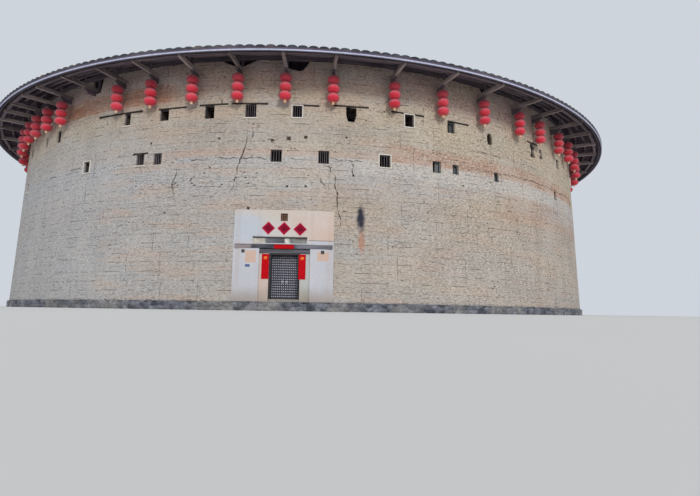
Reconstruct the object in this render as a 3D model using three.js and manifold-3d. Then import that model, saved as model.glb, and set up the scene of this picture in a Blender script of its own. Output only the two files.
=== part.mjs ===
// A round rammed-earth house of four storeys round an open courtyard.
// Every size below is the real building's, in millimetres; the finished group is then
// reduced to a half-size model. Bearings are degrees round the plan: 0 is the door, on -Y,
// and they grow towards +X.
import * as THREE from 'three';
import { mergeVertices } from 'three/addons/utils/BufferGeometryUtils.js';
import Module from 'manifold-3d';

const wasm = await Module();
wasm.setup();

const modelScale = 0.5;
const gap = 0.6; // clearance between touching pieces
const overcut = 10; // how far a cutting shape runs past the face it opens

// Plan: every ring is a polygon with one side a bay.
const bays = 56;
const bayAngle = 360 / bays;
const wallBaseRadius = 26400;
const wallInnerRadius = 24900;
const wallBatter = 0.0378; // inward lean of the outer face for each unit of height
const plinthRadius = 26520;
const podiumRadius = 19100;

// Levels above the ground
const plinthTop = 500;
const wallTop = 14750;
const floorLevels = [4900, 7550, 10250];
const boardThickness = 150;

// Windows: the rows of the third and fourth storeys
const topRowCentre = 11550;
const lowerRowCentre = 8850;
const plainWindow = { width: 560, height: 700 };
const firstPlainBay = 9;
const lastPlainBay = 48;

// Doorway
const passageHalfWidth = 860;
const doorHead = 3180;
const thresholdTop = 640;
const leafThickness = 90;
const leafOuterEdge = 800;
const leafMeetingEdge = 6;
const pivotOffset = 770;
const pivotRadius = 35;
const pivotPlay = 4;
const pivotDepth = 40;
const leafCentreY = -25795;
const leafBottom = 660;
const leafTop = 3130;

// Timber frames: a post and a radial beam on each, the beam through the wall top and out under the eaves
const beamBottom = 13950;
const beamDepth = 250;
const beamWidth = 180;
const beamEnd = 28150;
const postRadius = 19500;
const postWidth = 260;
const beamInnerEnd = postRadius + postWidth / 2 + gap;
const entranceFrame = -0.5;
const frontFrames = [
  -53.5, -49, -45, -40.5, -36, -30, -24, -18.5, -12.5, -6.5, entranceFrame,
  5.5, 13.5, 20.5, 27.5, 35, 40.5, 47.5, 53, 59, 65,
];
const firstEvenFrame = 11;
const lastEvenFrame = 47;

// Roof
const roofSlope = 0.42;
const ridgeRadius = 23000;
const deckEaveRadius = 28380;
const deckEaveHeight = 14140; // underside of the deck at the outer eave
const tileOverhang = 180;
const deckThickness = 150;
const innerEaveRadius = 18000;

// Lanterns
const lanternRadius = 375;
const lanternCircle = 26450;
const lanternCentres = [12280, 12820, 13360];
const lanternWaist = 80;
const lanternSides = 5;
const tasselFoot = 11880;
const stringNeck = 13720;
const stringTop = 13930;
const stringTurn = 15; // keeps a string's corners off the rail's
const bareFrame = -30;

const radians = THREE.MathUtils.degToRad;
const wallRadius = (height) => wallBaseRadius - wallBatter * (height - plinthTop);
const outerDeckUnderside = (radius) => deckEaveHeight + (deckEaveRadius - radius) * roofSlope;
const ridgeUnderside = outerDeckUnderside(ridgeRadius);
const innerDeckUnderside = (radius) => ridgeUnderside - (ridgeRadius - radius) * roofSlope;

const frameBearings = [...frontFrames];
for (let bay = firstEvenFrame; bay <= lastEvenFrame; bay += 1) frameBearings.push(bay * bayAngle);

// A closed three.js geometry as a solid, with shared corners and no collapsed faces.
function toSolid(geometry) {
  geometry.deleteAttribute('normal');
  geometry.deleteAttribute('uv');
  const merged = mergeVertices(geometry, 1e-3);
  const corners = merged.index.array;
  const faces = [];
  for (let i = 0; i < corners.length; i += 3) {
    const [a, b, c] = [corners[i], corners[i + 1], corners[i + 2]];
    if (a !== b && b !== c && c !== a) faces.push(a, b, c);
  }
  return new wasm.Manifold(new wasm.Mesh({
    numProp: 3,
    vertProperties: merged.attributes.position.array,
    triVerts: new Uint32Array(faces),
  }));
}

// A full ring round the courtyard from its section, given counter-clockwise as
// [radius, height] corners.
function ring(section) {
  const outline = [...section, section[0]].map(([radius, height]) => new THREE.Vector2(radius, height));
  return toSolid(new THREE.LatheGeometry(outline, bays).rotateX(Math.PI / 2));
}

// A rectangular section between two radii and two heights.
const bar = (inner, outer, bottom, top) => [[inner, bottom], [outer, bottom], [outer, top], [inner, top]];

// The wedge of the plan between two bearings, a hair narrower than full so that
// neighbours keep their clearance.
function wedge(from, to) {
  const reach = 32000;
  const foot = -1000;
  const height = 20000;
  const widestStep = 45;
  const trim = THREE.MathUtils.radToDeg(gap / 2 / podiumRadius);
  const outline = new THREE.Shape();
  outline.moveTo(0, 0);
  const steps = Math.ceil((to - from) / widestStep);
  for (let i = 0; i <= steps; i += 1) {
    const bearing = radians(from + trim + ((to - from - 2 * trim) * i) / steps);
    outline.lineTo(reach * Math.sin(bearing), -reach * Math.cos(bearing));
  }
  outline.closePath();
  const slice = new THREE.ExtrudeGeometry(outline, { depth: height, bevelEnabled: false });
  return toSolid(slice.translate(0, 0, foot));
}

// A box between two corners.
function box(low, high) {
  const size = high.map((value, i) => value - low[i]);
  const centre = high.map((value, i) => (value + low[i]) / 2);
  return toSolid(new THREE.BoxGeometry(...size).translate(...centre));
}

// A box at a bearing: its width across the bearing, its two radii and its two heights.
function blockAt(bearing, width, inner, outer, bottom, top) {
  const geometry = new THREE.BoxGeometry(width, outer - inner, top - bottom)
    .translate(0, -(inner + outer) / 2, (bottom + top) / 2)
    .rotateZ(radians(bearing));
  return toSolid(geometry);
}

const tulou = new THREE.Group();

function addPiece(name, solid, material) {
  const { vertProperties, triVerts } = solid.getMesh();
  const geometry = new THREE.BufferGeometry();
  geometry.setAttribute('position', new THREE.BufferAttribute(new Float32Array(vertProperties), 3));
  geometry.setIndex(new THREE.BufferAttribute(new Uint32Array(triVerts), 1));
  geometry.computeVertexNormals();
  const mesh = new THREE.Mesh(geometry, material());
  mesh.name = name;
  tulou.add(mesh);
}

const finish = (color, roughness, metalness = 0) => () => (
  new THREE.MeshStandardMaterial({ color, roughness, metalness, flatShading: true })
);
const rammedEarth = finish(0xb3a38c, 0.95);
const cobbles = finish(0x6f6a63, 0.9);
const packedEarth = finish(0x8c7c68, 0.95);
const limePlaster = finish(0xe2ddd2, 0.85);
const paintedBoard = finish(0xc9c4b6, 0.7);
const weatheredTimber = finish(0x5b4a3f, 0.85);
const darkTimber = finish(0x33302e, 0.8);
const doorTimber = finish(0x2a2c31, 0.6);
const doorStone = finish(0x8d8981, 0.85);
const paleFascia = finish(0xb9b1a6, 0.8);
const clayTiles = finish(0x3f3f41, 0.9);
const redSilk = finish(0xb3202c, 0.6);

// Base

function addBase() {
  addPiece('plinth', ring(bar(wallInnerRadius, plinthRadius, 0, plinthTop)), cobbles);
  const podium = ring(bar(podiumRadius, wallInnerRadius - gap, 0, plinthTop));
  addPiece('ground_floor', podium, packedEarth);
}

// Earth wall

const wallFaceReach = 27500;
const wallBackReach = 24000;

// A window hole right through the wall.
const windowHole = ({ bearing, width, height, centre }) => (
  blockAt(bearing, width, wallBackReach, wallFaceReach, centre - height / 2, centre + height / 2)
);

// The windows that the front shows, row by row.
const topFrontWindows = [
  { bearing: -43, width: 400, height: 800 },
  { bearing: -38.5, width: 600, height: 850 },
  { bearing: -23, width: 480, height: 800 },
  { bearing: -17, width: 620, height: 680 },
  { bearing: -10.5, width: 600, height: 800 },
  { bearing: -5, width: 660, height: 820 },
  { bearing: 1, width: 570, height: 700 },
  { bearing: 8, width: 640, height: 900 },
  { bearing: 16, width: 600, height: 780 },
  { bearing: 22.5, width: 560, height: 700 },
  { bearing: 29.5, width: 500, height: 780, centre: 11350 },
  { bearing: 40, width: 700, height: 1000 },
  { bearing: 42.7, width: 480, height: 740 },
  { bearing: 50, width: 600, height: 760 },
];
const lowerFrontWindows = [
  { bearing: -30, width: 600, height: 720 },
  { bearing: -20.2, width: 580, height: 700 },
  { bearing: -17.5, width: 560, height: 700 },
  { bearing: -1.5, width: 660, height: 740 },
  { bearing: 4.5, width: 640, height: 780 },
  { bearing: 12.5, width: 680, height: 740 },
  { bearing: 20, width: 580, height: 740 },
  { bearing: 23, width: 460, height: 620 },
  { bearing: 30.5, width: 440, height: 620 },
  { bearing: 47.5, width: 500, height: 640 },
];

function allWindows() {
  const windows = [
    ...topFrontWindows.map((window) => ({ centre: topRowCentre, ...window })),
    ...lowerFrontWindows.map((window) => ({ centre: lowerRowCentre, ...window })),
  ];
  for (let bay = firstPlainBay; bay <= lastPlainBay; bay += 1) {
    const bearing = bay * bayAngle;
    windows.push({ ...plainWindow, bearing, centre: topRowCentre });
    const blindBay = bay % 4 === 3; // the lower row leaves out every fourth bay
    if (!blindBay) windows.push({ ...plainWindow, bearing, centre: lowerRowCentre });
  }
  return windows;
}

// Places where the top course of earth has fallen away.
const fallenCourses = [
  { bearing: -29.15, width: 500, depth: 900 },
  { bearing: -6.7, width: 1200, depth: 380 },
  { bearing: 0.95, width: 1300, depth: 520 },
  { bearing: 28.8, width: 800, depth: 350 },
  { bearing: 54.5, width: 700, depth: 400 },
];

// Vent over the door and the timbers that carry the wall over it
const vent = { left: -285, right: 115, bottom: 5010, top: 5450 };
const lintelSeam = 3420;
const lowerLintel = {
  left: -1415, right: 1415, front: -26290, back: -24810, bottom: doorHead, top: lintelSeam,
};
const upperLintel = {
  left: -2800, right: 2660, front: -26250, back: -25900, bottom: lintelSeam + gap, top: 3700,
};

const lintelBox = ({ left, right, front, back, bottom, top }) => (
  box([left, front, bottom], [right, back, top])
);

// The recess that a lintel lies in, open to the front.
const lintelPocket = ({ left, right, back, bottom, top }) => (
  box([left - gap, -wallFaceReach, bottom - gap], [right + gap, back + gap, top + gap])
);

const doorwayVoid = () => (
  box([-passageHalfWidth, -wallFaceReach, 0], [passageHalfWidth, -wallBackReach, doorHead])
);

// The part of the wall that the lintels carry.
const overDoorBlock = (room) => box(
  [-passageHalfWidth + room, -wallFaceReach, lowerLintel.top + room],
  [passageHalfWidth - room, -wallBackReach, wallTop + overcut],
);

function addEarthWall() {
  const section = [
    [wallInnerRadius, plinthTop + gap],
    [wallBaseRadius, plinthTop + gap],
    [wallRadius(wallTop), wallTop],
    [wallInnerRadius, wallTop],
  ];
  const slotWidth = beamWidth + 2 * gap;
  const cuts = [
    ...allWindows().map(windowHole),
    ...frameBearings.map((bearing) => (
      blockAt(bearing, slotWidth, wallBackReach, wallFaceReach, beamBottom - gap, wallTop + overcut)
    )),
    ...fallenCourses.map(({ bearing, width, depth }) => (
      blockAt(bearing, width, wallBackReach, wallFaceReach, wallTop - depth, wallTop + overcut)
    )),
    lintelPocket(lowerLintel),
    lintelPocket(upperLintel),
    box([vent.left, -wallFaceReach, vent.bottom], [vent.right, -wallBackReach, vent.top]),
  ];
  const wall = ring(section).subtract(wasm.Manifold.union(cuts));
  const frontEdges = [-26.5, 26];
  const besideDoor = wall.subtract(doorwayVoid()).subtract(overDoorBlock(0));
  addPiece('wall_front_left', besideDoor.intersect(wedge(frontEdges[0], 0)), rammedEarth);
  addPiece('wall_front_right', besideDoor.intersect(wedge(0, frontEdges[1])), rammedEarth);
  addPiece('wall_over_door', wall.intersect(overDoorBlock(gap)), rammedEarth);
  const edges = [frontEdges[1], 67.5, 112.5, 157.5, 202.5, 247.5, 292.5, 360 + frontEdges[0]];
  const names = ['right_front', 'right', 'right_back', 'back', 'left_back', 'left', 'left_front'];
  names.forEach((name, i) => {
    addPiece(`wall_${name}`, wall.intersect(wedge(edges[i], edges[i + 1])), rammedEarth);
  });
}

// Doorway

const headSocketDepth = 45;
const pinHeadroom = 15;

// A round pin or socket standing on a height, with twelve sides.
function pin(x, y, radius, bottom, top) {
  const sides = 12;
  const geometry = new THREE.CylinderGeometry(radius, radius, top - bottom, sides)
    .rotateX(Math.PI / 2)
    .translate(x, y, (bottom + top) / 2);
  return toSolid(geometry);
}

const socket = (side, bottom, top) => (
  pin(side * pivotOffset, leafCentreY, pivotRadius + pivotPlay, bottom, top)
);

function addDoorway() {
  const half = passageHalfWidth - gap;
  const thresholdFront = -26250;
  const thresholdBack = -25600;
  const threshold = box([-half, thresholdFront, plinthTop + gap], [half, thresholdBack, thresholdTop]);
  const floorSockets = [-1, 1].map((side) => socket(side, thresholdTop - pivotDepth, thresholdTop + overcut));
  addPiece('door_threshold', threshold.subtract(wasm.Manifold.union(floorSockets)), doorStone);

  const frameFront = -26230;
  const frameBack = -25880;
  const frameFoot = thresholdTop + gap;
  const frameTop = doorHead - gap;
  const frameHead = 3100;
  const frameInner = 700;
  const doorFrame = box([-half, frameFront, frameFoot], [half, frameBack, frameTop])
    .subtract(box(
      [-frameInner, frameFront - overcut, frameFoot - overcut],
      [frameInner, frameBack + overcut, frameHead],
    ));
  addPiece('door_frame', doorFrame, darkTimber);

  const headSockets = [-1, 1].map((side) => socket(side, doorHead - overcut, doorHead + headSocketDepth));
  const carryingLintel = lintelBox(lowerLintel).subtract(wasm.Manifold.union(headSockets));
  addPiece('door_lintel', carryingLintel, darkTimber);
  addPiece('portal_beam', lintelBox(upperLintel), darkTimber);
}

// One leaf: side is -1 for the left leaf and 1 for the right.
function doorLeaf(side) {
  const edges = [side * leafMeetingEdge, side * leafOuterEdge].sort((a, b) => a - b);
  const panel = box(
    [edges[0], leafCentreY - leafThickness / 2, leafBottom],
    [edges[1], leafCentreY + leafThickness / 2, leafTop],
  );
  const pinFoot = thresholdTop - pivotDepth + gap;
  const pinHead = doorHead + headSocketDepth - pinHeadroom;
  return panel.add(pin(side * pivotOffset, leafCentreY, pivotRadius, pinFoot, pinHead));
}

function addDoorLeaves() {
  addPiece('door_leaf_left', doorLeaf(-1), doorTimber);
  addPiece('door_leaf_right', doorLeaf(1), doorTimber);
}

// Portal: the lime plaster round the door, and the bare name board over it

const plasterThickness = 40;
const plasterLeft = -2880;
const plasterRight = 2720;
const plasterTop = 5650;
const nameBoard = { left: -1785, right: 1220, bottom: 3745, top: 4080, front: -26330, back: -26000 };
const sideVents = [{ x: -2320, z: 3290 }, { x: 2105, z: 3280 }];

function addPortal() {
  const foot = plinthTop + gap;
  const coat = ring([
    [wallRadius(foot) + gap, foot],
    [wallRadius(foot) + plasterThickness, foot],
    [wallRadius(plasterTop) + plasterThickness, plasterTop],
    [wallRadius(plasterTop) + gap, plasterTop],
  ]);
  const span = box([plasterLeft, -wallFaceReach, 0], [plasterRight, -wallBackReach, plasterTop]);
  const sideVentHalf = 95;
  const opening = (left, right, bottom, top) => (
    box([left, -wallFaceReach, bottom], [right, -wallBackReach, top])
  );
  const openings = [
    lintelPocket(lowerLintel),
    lintelPocket(upperLintel),
    opening(lowerLintel.left - gap, lowerLintel.right + gap, 0, doorHead),
    opening(vent.left, vent.right, vent.bottom, vent.top),
    opening(nameBoard.left - gap, nameBoard.right + gap, nameBoard.bottom - gap, nameBoard.top + gap),
    ...sideVents.map(({ x, z }) => (
      opening(x - sideVentHalf, x + sideVentHalf, z - sideVentHalf, z + sideVentHalf)
    )),
  ];
  const plaster = coat.intersect(span).subtract(wasm.Manifold.union(openings));
  addPiece('portal_plaster', plaster, limePlaster);

  const boardStrip = box(
    [nameBoard.left, nameBoard.front, nameBoard.bottom],
    [nameBoard.right, nameBoard.back, nameBoard.top],
  );
  const coreFace = wallRadius(nameBoard.bottom) + gap;
  const wallCore = ring(bar(wallBackReach, coreFace, nameBoard.bottom - overcut, nameBoard.top + overcut));
  addPiece('name_board', boardStrip.subtract(wallCore), paintedBoard);
}

// Upper floors: boards from the wall to the courtyard edge, with the parapet along it

function addGalleries() {
  const boardsOuter = wallInnerRadius - gap;
  const courtEdge = 19670;
  const parapetThickness = 80;
  const parapetHeight = 950;
  floorLevels.forEach((level, i) => {
    const storey = i + 2;
    const boards = bar(courtEdge, boardsOuter, level - boardThickness, level);
    const parapet = bar(courtEdge, courtEdge + parapetThickness, level + gap, level + parapetHeight);
    addPiece(`gallery_floor_${storey}`, ring(boards), weatheredTimber);
    addPiece(`gallery_parapet_${storey}`, ring(parapet), weatheredTimber);
  });
}

// Timbers: a ring of posts along the courtyard under its wall plate, and the radial beams
// with the eave and ridge purlins that they carry

function addTimbers() {
  const purlinHalf = 100;
  const postPurlinTop = innerDeckUnderside(postRadius - purlinHalf) - gap;
  const ridgePurlinTop = outerDeckUnderside(ridgeRadius + purlinHalf) - gap;
  const eavePurlinRadius = 28000;
  const eavePurlinTop = outerDeckUnderside(eavePurlinRadius + purlinHalf) - gap;
  const purlinDepth = 190;
  const lap = 60; // how far a post runs up into its purlin
  const kingPostWidth = 160;
  const shortBeamEnd = wallInnerRadius - 500;
  const beamTop = beamBottom + beamDepth;
  const postTop = postPurlinTop - purlinDepth + lap;
  const kingPostTop = ridgePurlinTop - purlinDepth + lap;

  const purlin = (radius, top) => ring(bar(radius - purlinHalf, radius + purlinHalf, top - purlinDepth, top));
  const upright = (bearing, radius, width, foot, top) => (
    blockAt(bearing, width, radius - width / 2, radius + width / 2, foot, top)
  );
  const posts = [purlin(postRadius, postPurlinTop)];
  const beams = [purlin(eavePurlinRadius, eavePurlinTop), purlin(ridgeRadius, ridgePurlinTop)];
  frameBearings.forEach((bearing, i) => {
    const overEntrance = bearing === entranceFrame;
    const innerEnd = overEntrance ? shortBeamEnd : beamInnerEnd;
    beams.push(blockAt(bearing, beamWidth, innerEnd, beamEnd, beamBottom, beamTop));
    if (!overEntrance) posts.push(upright(bearing, postRadius, postWidth, plinthTop + gap, postTop));
    const carriesRidge = i % 4 === 1;
    if (carriesRidge) beams.push(upright(bearing, ridgeRadius, kingPostWidth, beamTop - lap, kingPostTop));
  });
  addSectors('gallery_posts', wasm.Manifold.union(posts), weatheredTimber);
  addSectors('roof_beams', wasm.Manifold.union(beams), weatheredTimber);
}

// A ring cut into four, each named for its side, with the cuts clear of every beam.
function addSectors(name, solid, material) {
  const edges = [-43, 44, 138, 228, 317];
  ['front', 'right', 'back', 'left'].forEach((side, i) => {
    addPiece(`${name}_${side}`, solid.intersect(wedge(edges[i], edges[i + 1])), material);
  });
}

// Roof

function addRoof() {
  const half = gap / 2;
  const outerSlope = ring([
    [ridgeRadius + half, outerDeckUnderside(ridgeRadius)],
    [deckEaveRadius, deckEaveHeight],
    [deckEaveRadius + tileOverhang, outerDeckUnderside(deckEaveRadius + tileOverhang) + deckThickness],
    [ridgeRadius + half, ridgeUnderside + deckThickness],
  ]);
  addSectors('roof_outer', outerSlope, clayTiles);

  const innerSlope = ring([
    [innerEaveRadius, innerDeckUnderside(innerEaveRadius)],
    [ridgeRadius - half, ridgeUnderside],
    [ridgeRadius - half, ridgeUnderside + deckThickness],
    [innerEaveRadius, innerDeckUnderside(innerEaveRadius) + deckThickness],
  ]);
  addPiece('roof_inner_front', innerSlope.intersect(wedge(-90, 90)), clayTiles);
  addPiece('roof_inner_back', innerSlope.intersect(wedge(90, 270)), clayTiles);

  const capHalf = 300;
  const capTopHalf = 180;
  const capRise = 230;
  const deckTop = ridgeUnderside + deckThickness + gap;
  const cap = ring([
    [ridgeRadius - capHalf, deckTop - capHalf * roofSlope],
    [ridgeRadius, deckTop],
    [ridgeRadius + capHalf, deckTop - capHalf * roofSlope],
    [ridgeRadius + capTopHalf, deckTop + capRise],
    [ridgeRadius - capTopHalf, deckTop + capRise],
  ]);
  addPiece('roof_ridge', cap, clayTiles);

  const fasciaFoot = 14000;
  const fasciaOuter = deckEaveRadius - 5;
  const fasciaThickness = 60;
  const fasciaTop = outerDeckUnderside(fasciaOuter) - gap;
  const fascia = ring(bar(fasciaOuter - fasciaThickness, fasciaOuter, fasciaFoot, fasciaTop));
  addPiece('eave_fascia', fascia, paleFascia);
}

// Strings of three lanterns under the beams, hung from one thin rail

function lanternString(bearing) {
  const outline = [
    [0, tasselFoot],
    [lanternRadius, lanternCentres[0]],
    [lanternWaist, (lanternCentres[0] + lanternCentres[1]) / 2],
    [lanternRadius, lanternCentres[1]],
    [lanternWaist, (lanternCentres[1] + lanternCentres[2]) / 2],
    [lanternRadius, lanternCentres[2]],
    [lanternWaist, stringNeck],
    [0, stringTop],
  ].map(([radius, height]) => new THREE.Vector2(radius, height));
  const geometry = new THREE.LatheGeometry(outline, lanternSides)
    .rotateX(Math.PI / 2)
    .rotateZ(radians(stringTurn))
    .translate(0, -lanternCircle, 0)
    .rotateZ(radians(bearing));
  return toSolid(geometry);
}

function addLanterns() {
  const railHalf = 30;
  const railTop = beamBottom - gap;
  const sideInset = Math.cos(radians(bayAngle / 2));
  const railRadius = (2 * lanternCircle) / (1 + sideInset); // its sides straddle the strings
  const rail = ring(bar(railRadius - railHalf, railRadius + railHalf, railTop - 2 * railHalf, railTop));
  const strings = frameBearings.filter((bearing) => bearing !== bareFrame).map(lanternString);
  addSectors('lanterns', wasm.Manifold.union([rail, ...strings]), redSilk);
}

addBase();
addEarthWall();
addDoorway();
addDoorLeaves();
addPortal();
addGalleries();
addTimbers();
addRoof();
addLanterns();

tulou.scale.setScalar(modelScale);

export default tulou;
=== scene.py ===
import math

import bpy
import numpy as np
from mathutils import Matrix, Vector


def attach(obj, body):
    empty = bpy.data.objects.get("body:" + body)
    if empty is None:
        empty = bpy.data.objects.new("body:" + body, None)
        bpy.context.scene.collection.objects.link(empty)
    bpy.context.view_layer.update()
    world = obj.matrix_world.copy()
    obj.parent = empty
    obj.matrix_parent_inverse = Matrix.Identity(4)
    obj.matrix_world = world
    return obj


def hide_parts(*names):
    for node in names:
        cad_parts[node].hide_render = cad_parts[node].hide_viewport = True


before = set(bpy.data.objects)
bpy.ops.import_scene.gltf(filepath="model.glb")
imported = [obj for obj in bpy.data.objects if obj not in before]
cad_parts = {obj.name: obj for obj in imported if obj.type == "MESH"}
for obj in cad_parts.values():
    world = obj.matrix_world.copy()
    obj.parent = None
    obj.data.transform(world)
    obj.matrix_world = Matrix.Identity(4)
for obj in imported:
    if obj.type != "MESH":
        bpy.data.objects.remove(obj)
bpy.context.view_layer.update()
print("frame loaded:", len(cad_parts), "nodes")

# The house stands at half its real size. Sizes below are the real ones, in metres.
# Bearings are degrees round the plan: 0 is the door, towards -Y, and they grow towards +X.
modelScale = 0.5
house = {
    "bays": 56,
    "wallFoot": 0.5,
    "wallTop": 14.75,
    "wallRadius": 26.4,
    "wallInner": 24.9,
    "batter": 0.0378,       # inward lean for each metre of height
    "plinthRadius": 26.52,
    "podiumRadius": 19.1,
    "floors": (4.9, 7.55, 10.25),
    "ridgeRadius": 23.0,
    "eaveRadius": 28.38,
    "eaveHeight": 14.14,    # underside of the deck at the outer eave
    "roofSlope": 0.42,
    "innerEave": 18.0,
    "passageHalf": 0.86,
    "doorHead": 3.18,
}
bayAngle = 360 / house["bays"]
entranceFrame = -0.5
bareFrame = -30             # the frame without lanterns
frontFrames = [-53.5, -49, -45, -40.5, -36, -30, -24, -18.5, -12.5, -6.5, -0.5,
               5.5, 13.5, 20.5, 27.5, 35, 40.5, 47.5, 53, 59, 65]
frameBearings = np.array(frontFrames + [bay * bayAngle for bay in range(11, 48)])
upward = np.array([0, 0, 1.0])


# Places on the round plan

def polar(bearing, radius, height):
    # x is radius times the sine of the bearing, y is minus radius times its cosine.
    turn = np.radians(bearing)
    x, y, z = np.broadcast_arrays(radius * np.sin(turn), -radius * np.cos(turn), height)
    return np.stack([x, y, z], axis=-1)


def outward(bearing):
    return polar(bearing, 1.0, 0.0)


def sideways(bearing):
    # The unit vector towards growing bearings.
    return polar(np.asarray(bearing) + 90, 1.0, 0.0)


def evenBearings(count):
    return np.arange(count) * 360 / count


def wallRadius(height):
    return house["wallRadius"] - house["batter"] * (height - house["wallFoot"])


def onFace(x, height, proud):
    # Points of the leaning round face at a flat x, standing proud of it.
    return np.stack([x, -np.sqrt((wallRadius(height) + proud) ** 2 - x ** 2), height], axis=-1)


def outerUnderside(radius):
    return house["eaveHeight"] + (house["eaveRadius"] - radius) * house["roofSlope"]


def innerUnderside(radius):
    return outerUnderside(house["ridgeRadius"]) - (house["ridgeRadius"] - radius) * house["roofSlope"]


def arcDegrees(length):
    return math.degrees(length / house["wallRadius"])


# Noise on whole arrays

def hashed(cells, seed):
    # A fixed value from 0 to 1 for each cell: the fraction left by a large multiple of a sine.
    mixed = np.sin(cells @ np.array([12.9898, 78.233, 37.719]) + seed * 4.123) * 43758.5453
    return mixed - np.floor(mixed)


def hashedGrid(first, second, seed):
    return hashed(np.stack(np.broadcast_arrays(first, second, 0.0), axis=-1), seed)


def smoothNoise(points, size, seed):
    # From -1 to 1: random values on a lattice with cells of this size, blended by 3t^2 - 2t^3.
    lattice = np.asarray(points, float) / size
    cell = np.floor(lattice)
    blend = lattice - cell
    blend = blend * blend * (3 - 2 * blend)
    total = 0
    for corner in np.indices((2, 2, 2)).reshape(3, 8).T:
        weight = np.prod(np.where(corner == 1, blend, 1 - blend), axis=-1)
        total = total + weight * hashed(cell + corner, seed)
    return 2 * total - 1


# Parts are dictionaries of points, faces, local coordinates and a tint. The local coordinates run
# along, across and through the piece, in real metres, and the materials read them.

def makePart(points, faces, local, tint=0.5):
    points = np.asarray(points, float).reshape(-1, 3)
    local = points if local is None else np.asarray(local, float).reshape(-1, 3)
    tint = np.broadcast_to(np.ravel(tint) if np.ndim(tint) else tint, len(points))
    return {"points": points, "faces": faces, "local": local, "tint": tint}


def gridFaces(rows, columns, wrapRows=False, wrapColumns=False, keep=None):
    index = np.arange(rows * columns).reshape(rows, columns)
    if wrapColumns:
        index = np.hstack([index, index[:, :1]])
    if wrapRows:
        index = np.vstack([index, index[:1]])
    quads = np.stack([index[:-1, :-1], index[:-1, 1:], index[1:, 1:], index[1:, :-1]], axis=-1)
    return quads[keep] if keep is not None else quads.reshape(-1, 4)


def gridPart(points, local=None, tint=0.5, **shape):
    # A sheet of quads over rows and columns of points, facing out where rows rise and columns
    # run towards growing bearings.
    return makePart(points, [gridFaces(*points.shape[:2], **shape)], local, tint)


def tubePart(sections):
    # Sections of points carried one after another, with a flat cap at each end.
    rows, columns = sections.shape[:2]
    caps = np.array([np.arange(columns)[::-1], np.arange((rows - 1) * columns, rows * columns)])
    return makePart(sections, [gridFaces(rows, columns, wrapColumns=True), caps], None)


def slabPart(outer, inner, keep, outerLocal, innerLocal):
    # A wall between two grids of points with the same rows and columns: the two faces where keep is
    # true, and a rim from face to face along every edge between kept and missing cells.
    rows, columns = outer.shape[:2]
    faces = gridFaces(rows, columns, keep=keep)
    back = rows * columns
    index = np.arange(back).reshape(rows, columns)
    solid = np.pad(keep, 1)
    left, right = solid[1:-1, :-1], solid[1:-1, 1:]
    low, high = index[:-1], index[1:]
    upright = np.stack([low, low + back, high + back, high], axis=-1)
    under, over = solid[:-1, 1:-1], solid[1:, 1:-1]
    start, end = index[:, :-1], index[:, 1:]
    level = np.stack([start, end, end + back, start + back], axis=-1)
    rims = [upright[left & ~right], upright[~left & right][:, ::-1],
            level[under & ~over], level[~under & over][:, ::-1]]
    return makePart(np.stack([outer, inner]), [faces, faces[:, ::-1] + back] + rims,
                    np.stack([outerLocal, innerLocal]))


def barPart(length, width, depth, chamfer=0.015):
    # A bar along x: an eight-cornered section carried from end to end and drawn in at each end.
    w, d, cut = width / 2, depth / 2, chamfer
    corners = np.array([[cut - w, -d], [w - cut, -d], [w, cut - d], [w, d - cut],
                        [w - cut, d], [cut - w, d], [-w, d - cut], [-w, cut - d]])
    along = np.array([-length / 2, cut - length / 2, length / 2 - cut, length / 2])
    drawnIn = 1 - 2 * cut / min(width, depth) * np.array([1, 0, 0, 1])
    section = corners[None] * drawnIn[:, None, None]
    return tubePart(np.concatenate([np.broadcast_to(along[:, None, None], (4, 8, 1)), section], axis=-1))


def boxPart(length, width, depth):
    # A plain box along x, for what is too small for chamfers.
    section = np.array([[-width, -depth], [width, -depth], [width, depth], [-width, depth]]) / 2
    along = np.array([-length / 2, length / 2])
    return tubePart(np.concatenate([np.broadcast_to(along[:, None, None], (2, 4, 1)),
                                    np.broadcast_to(section, (2, 4, 2))], axis=-1))


def lathePart(profile, sides):
    # Radius and height pairs, rising, turned about z.
    radius, height = np.asarray(profile, float).T[:, :, None]
    turn = np.arange(sides) * 2 * np.pi / sides
    return tubePart(np.stack(np.broadcast_arrays(
        radius * np.cos(turn), radius * np.sin(turn), height), axis=-1))


def blockPart(left, right, front, back, low, high):
    # A plain block between two x, two y and two heights.
    return tubePart(np.array([[(left, front, z), (right, front, z), (right, back, z), (left, back, z)]
                              for z in (low, high)], float))


def ringPart(section, columns=448):
    # A closed section of [radius, height] corners, counter-clockwise, carried round the plan.
    section = np.asarray(section, float)
    bearing = evenBearings(columns)
    run = np.cumsum(np.r_[0, np.hypot(*np.diff(section, axis=0).T)])
    local = np.stack(np.broadcast_arrays(
        np.radians(bearing)[None] * section[:, :1].mean(), run[:, None], 0.0), axis=-1)
    return gridPart(polar(bearing[None], section[:, :1], section[:, 1:]), local, wrapRows=True,
                    wrapColumns=True)


def bandPart(inner, outer, low, high, columns=448):
    return ringPart([[inner, low], [outer, low], [outer, high], [inner, high]], columns)


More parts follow.
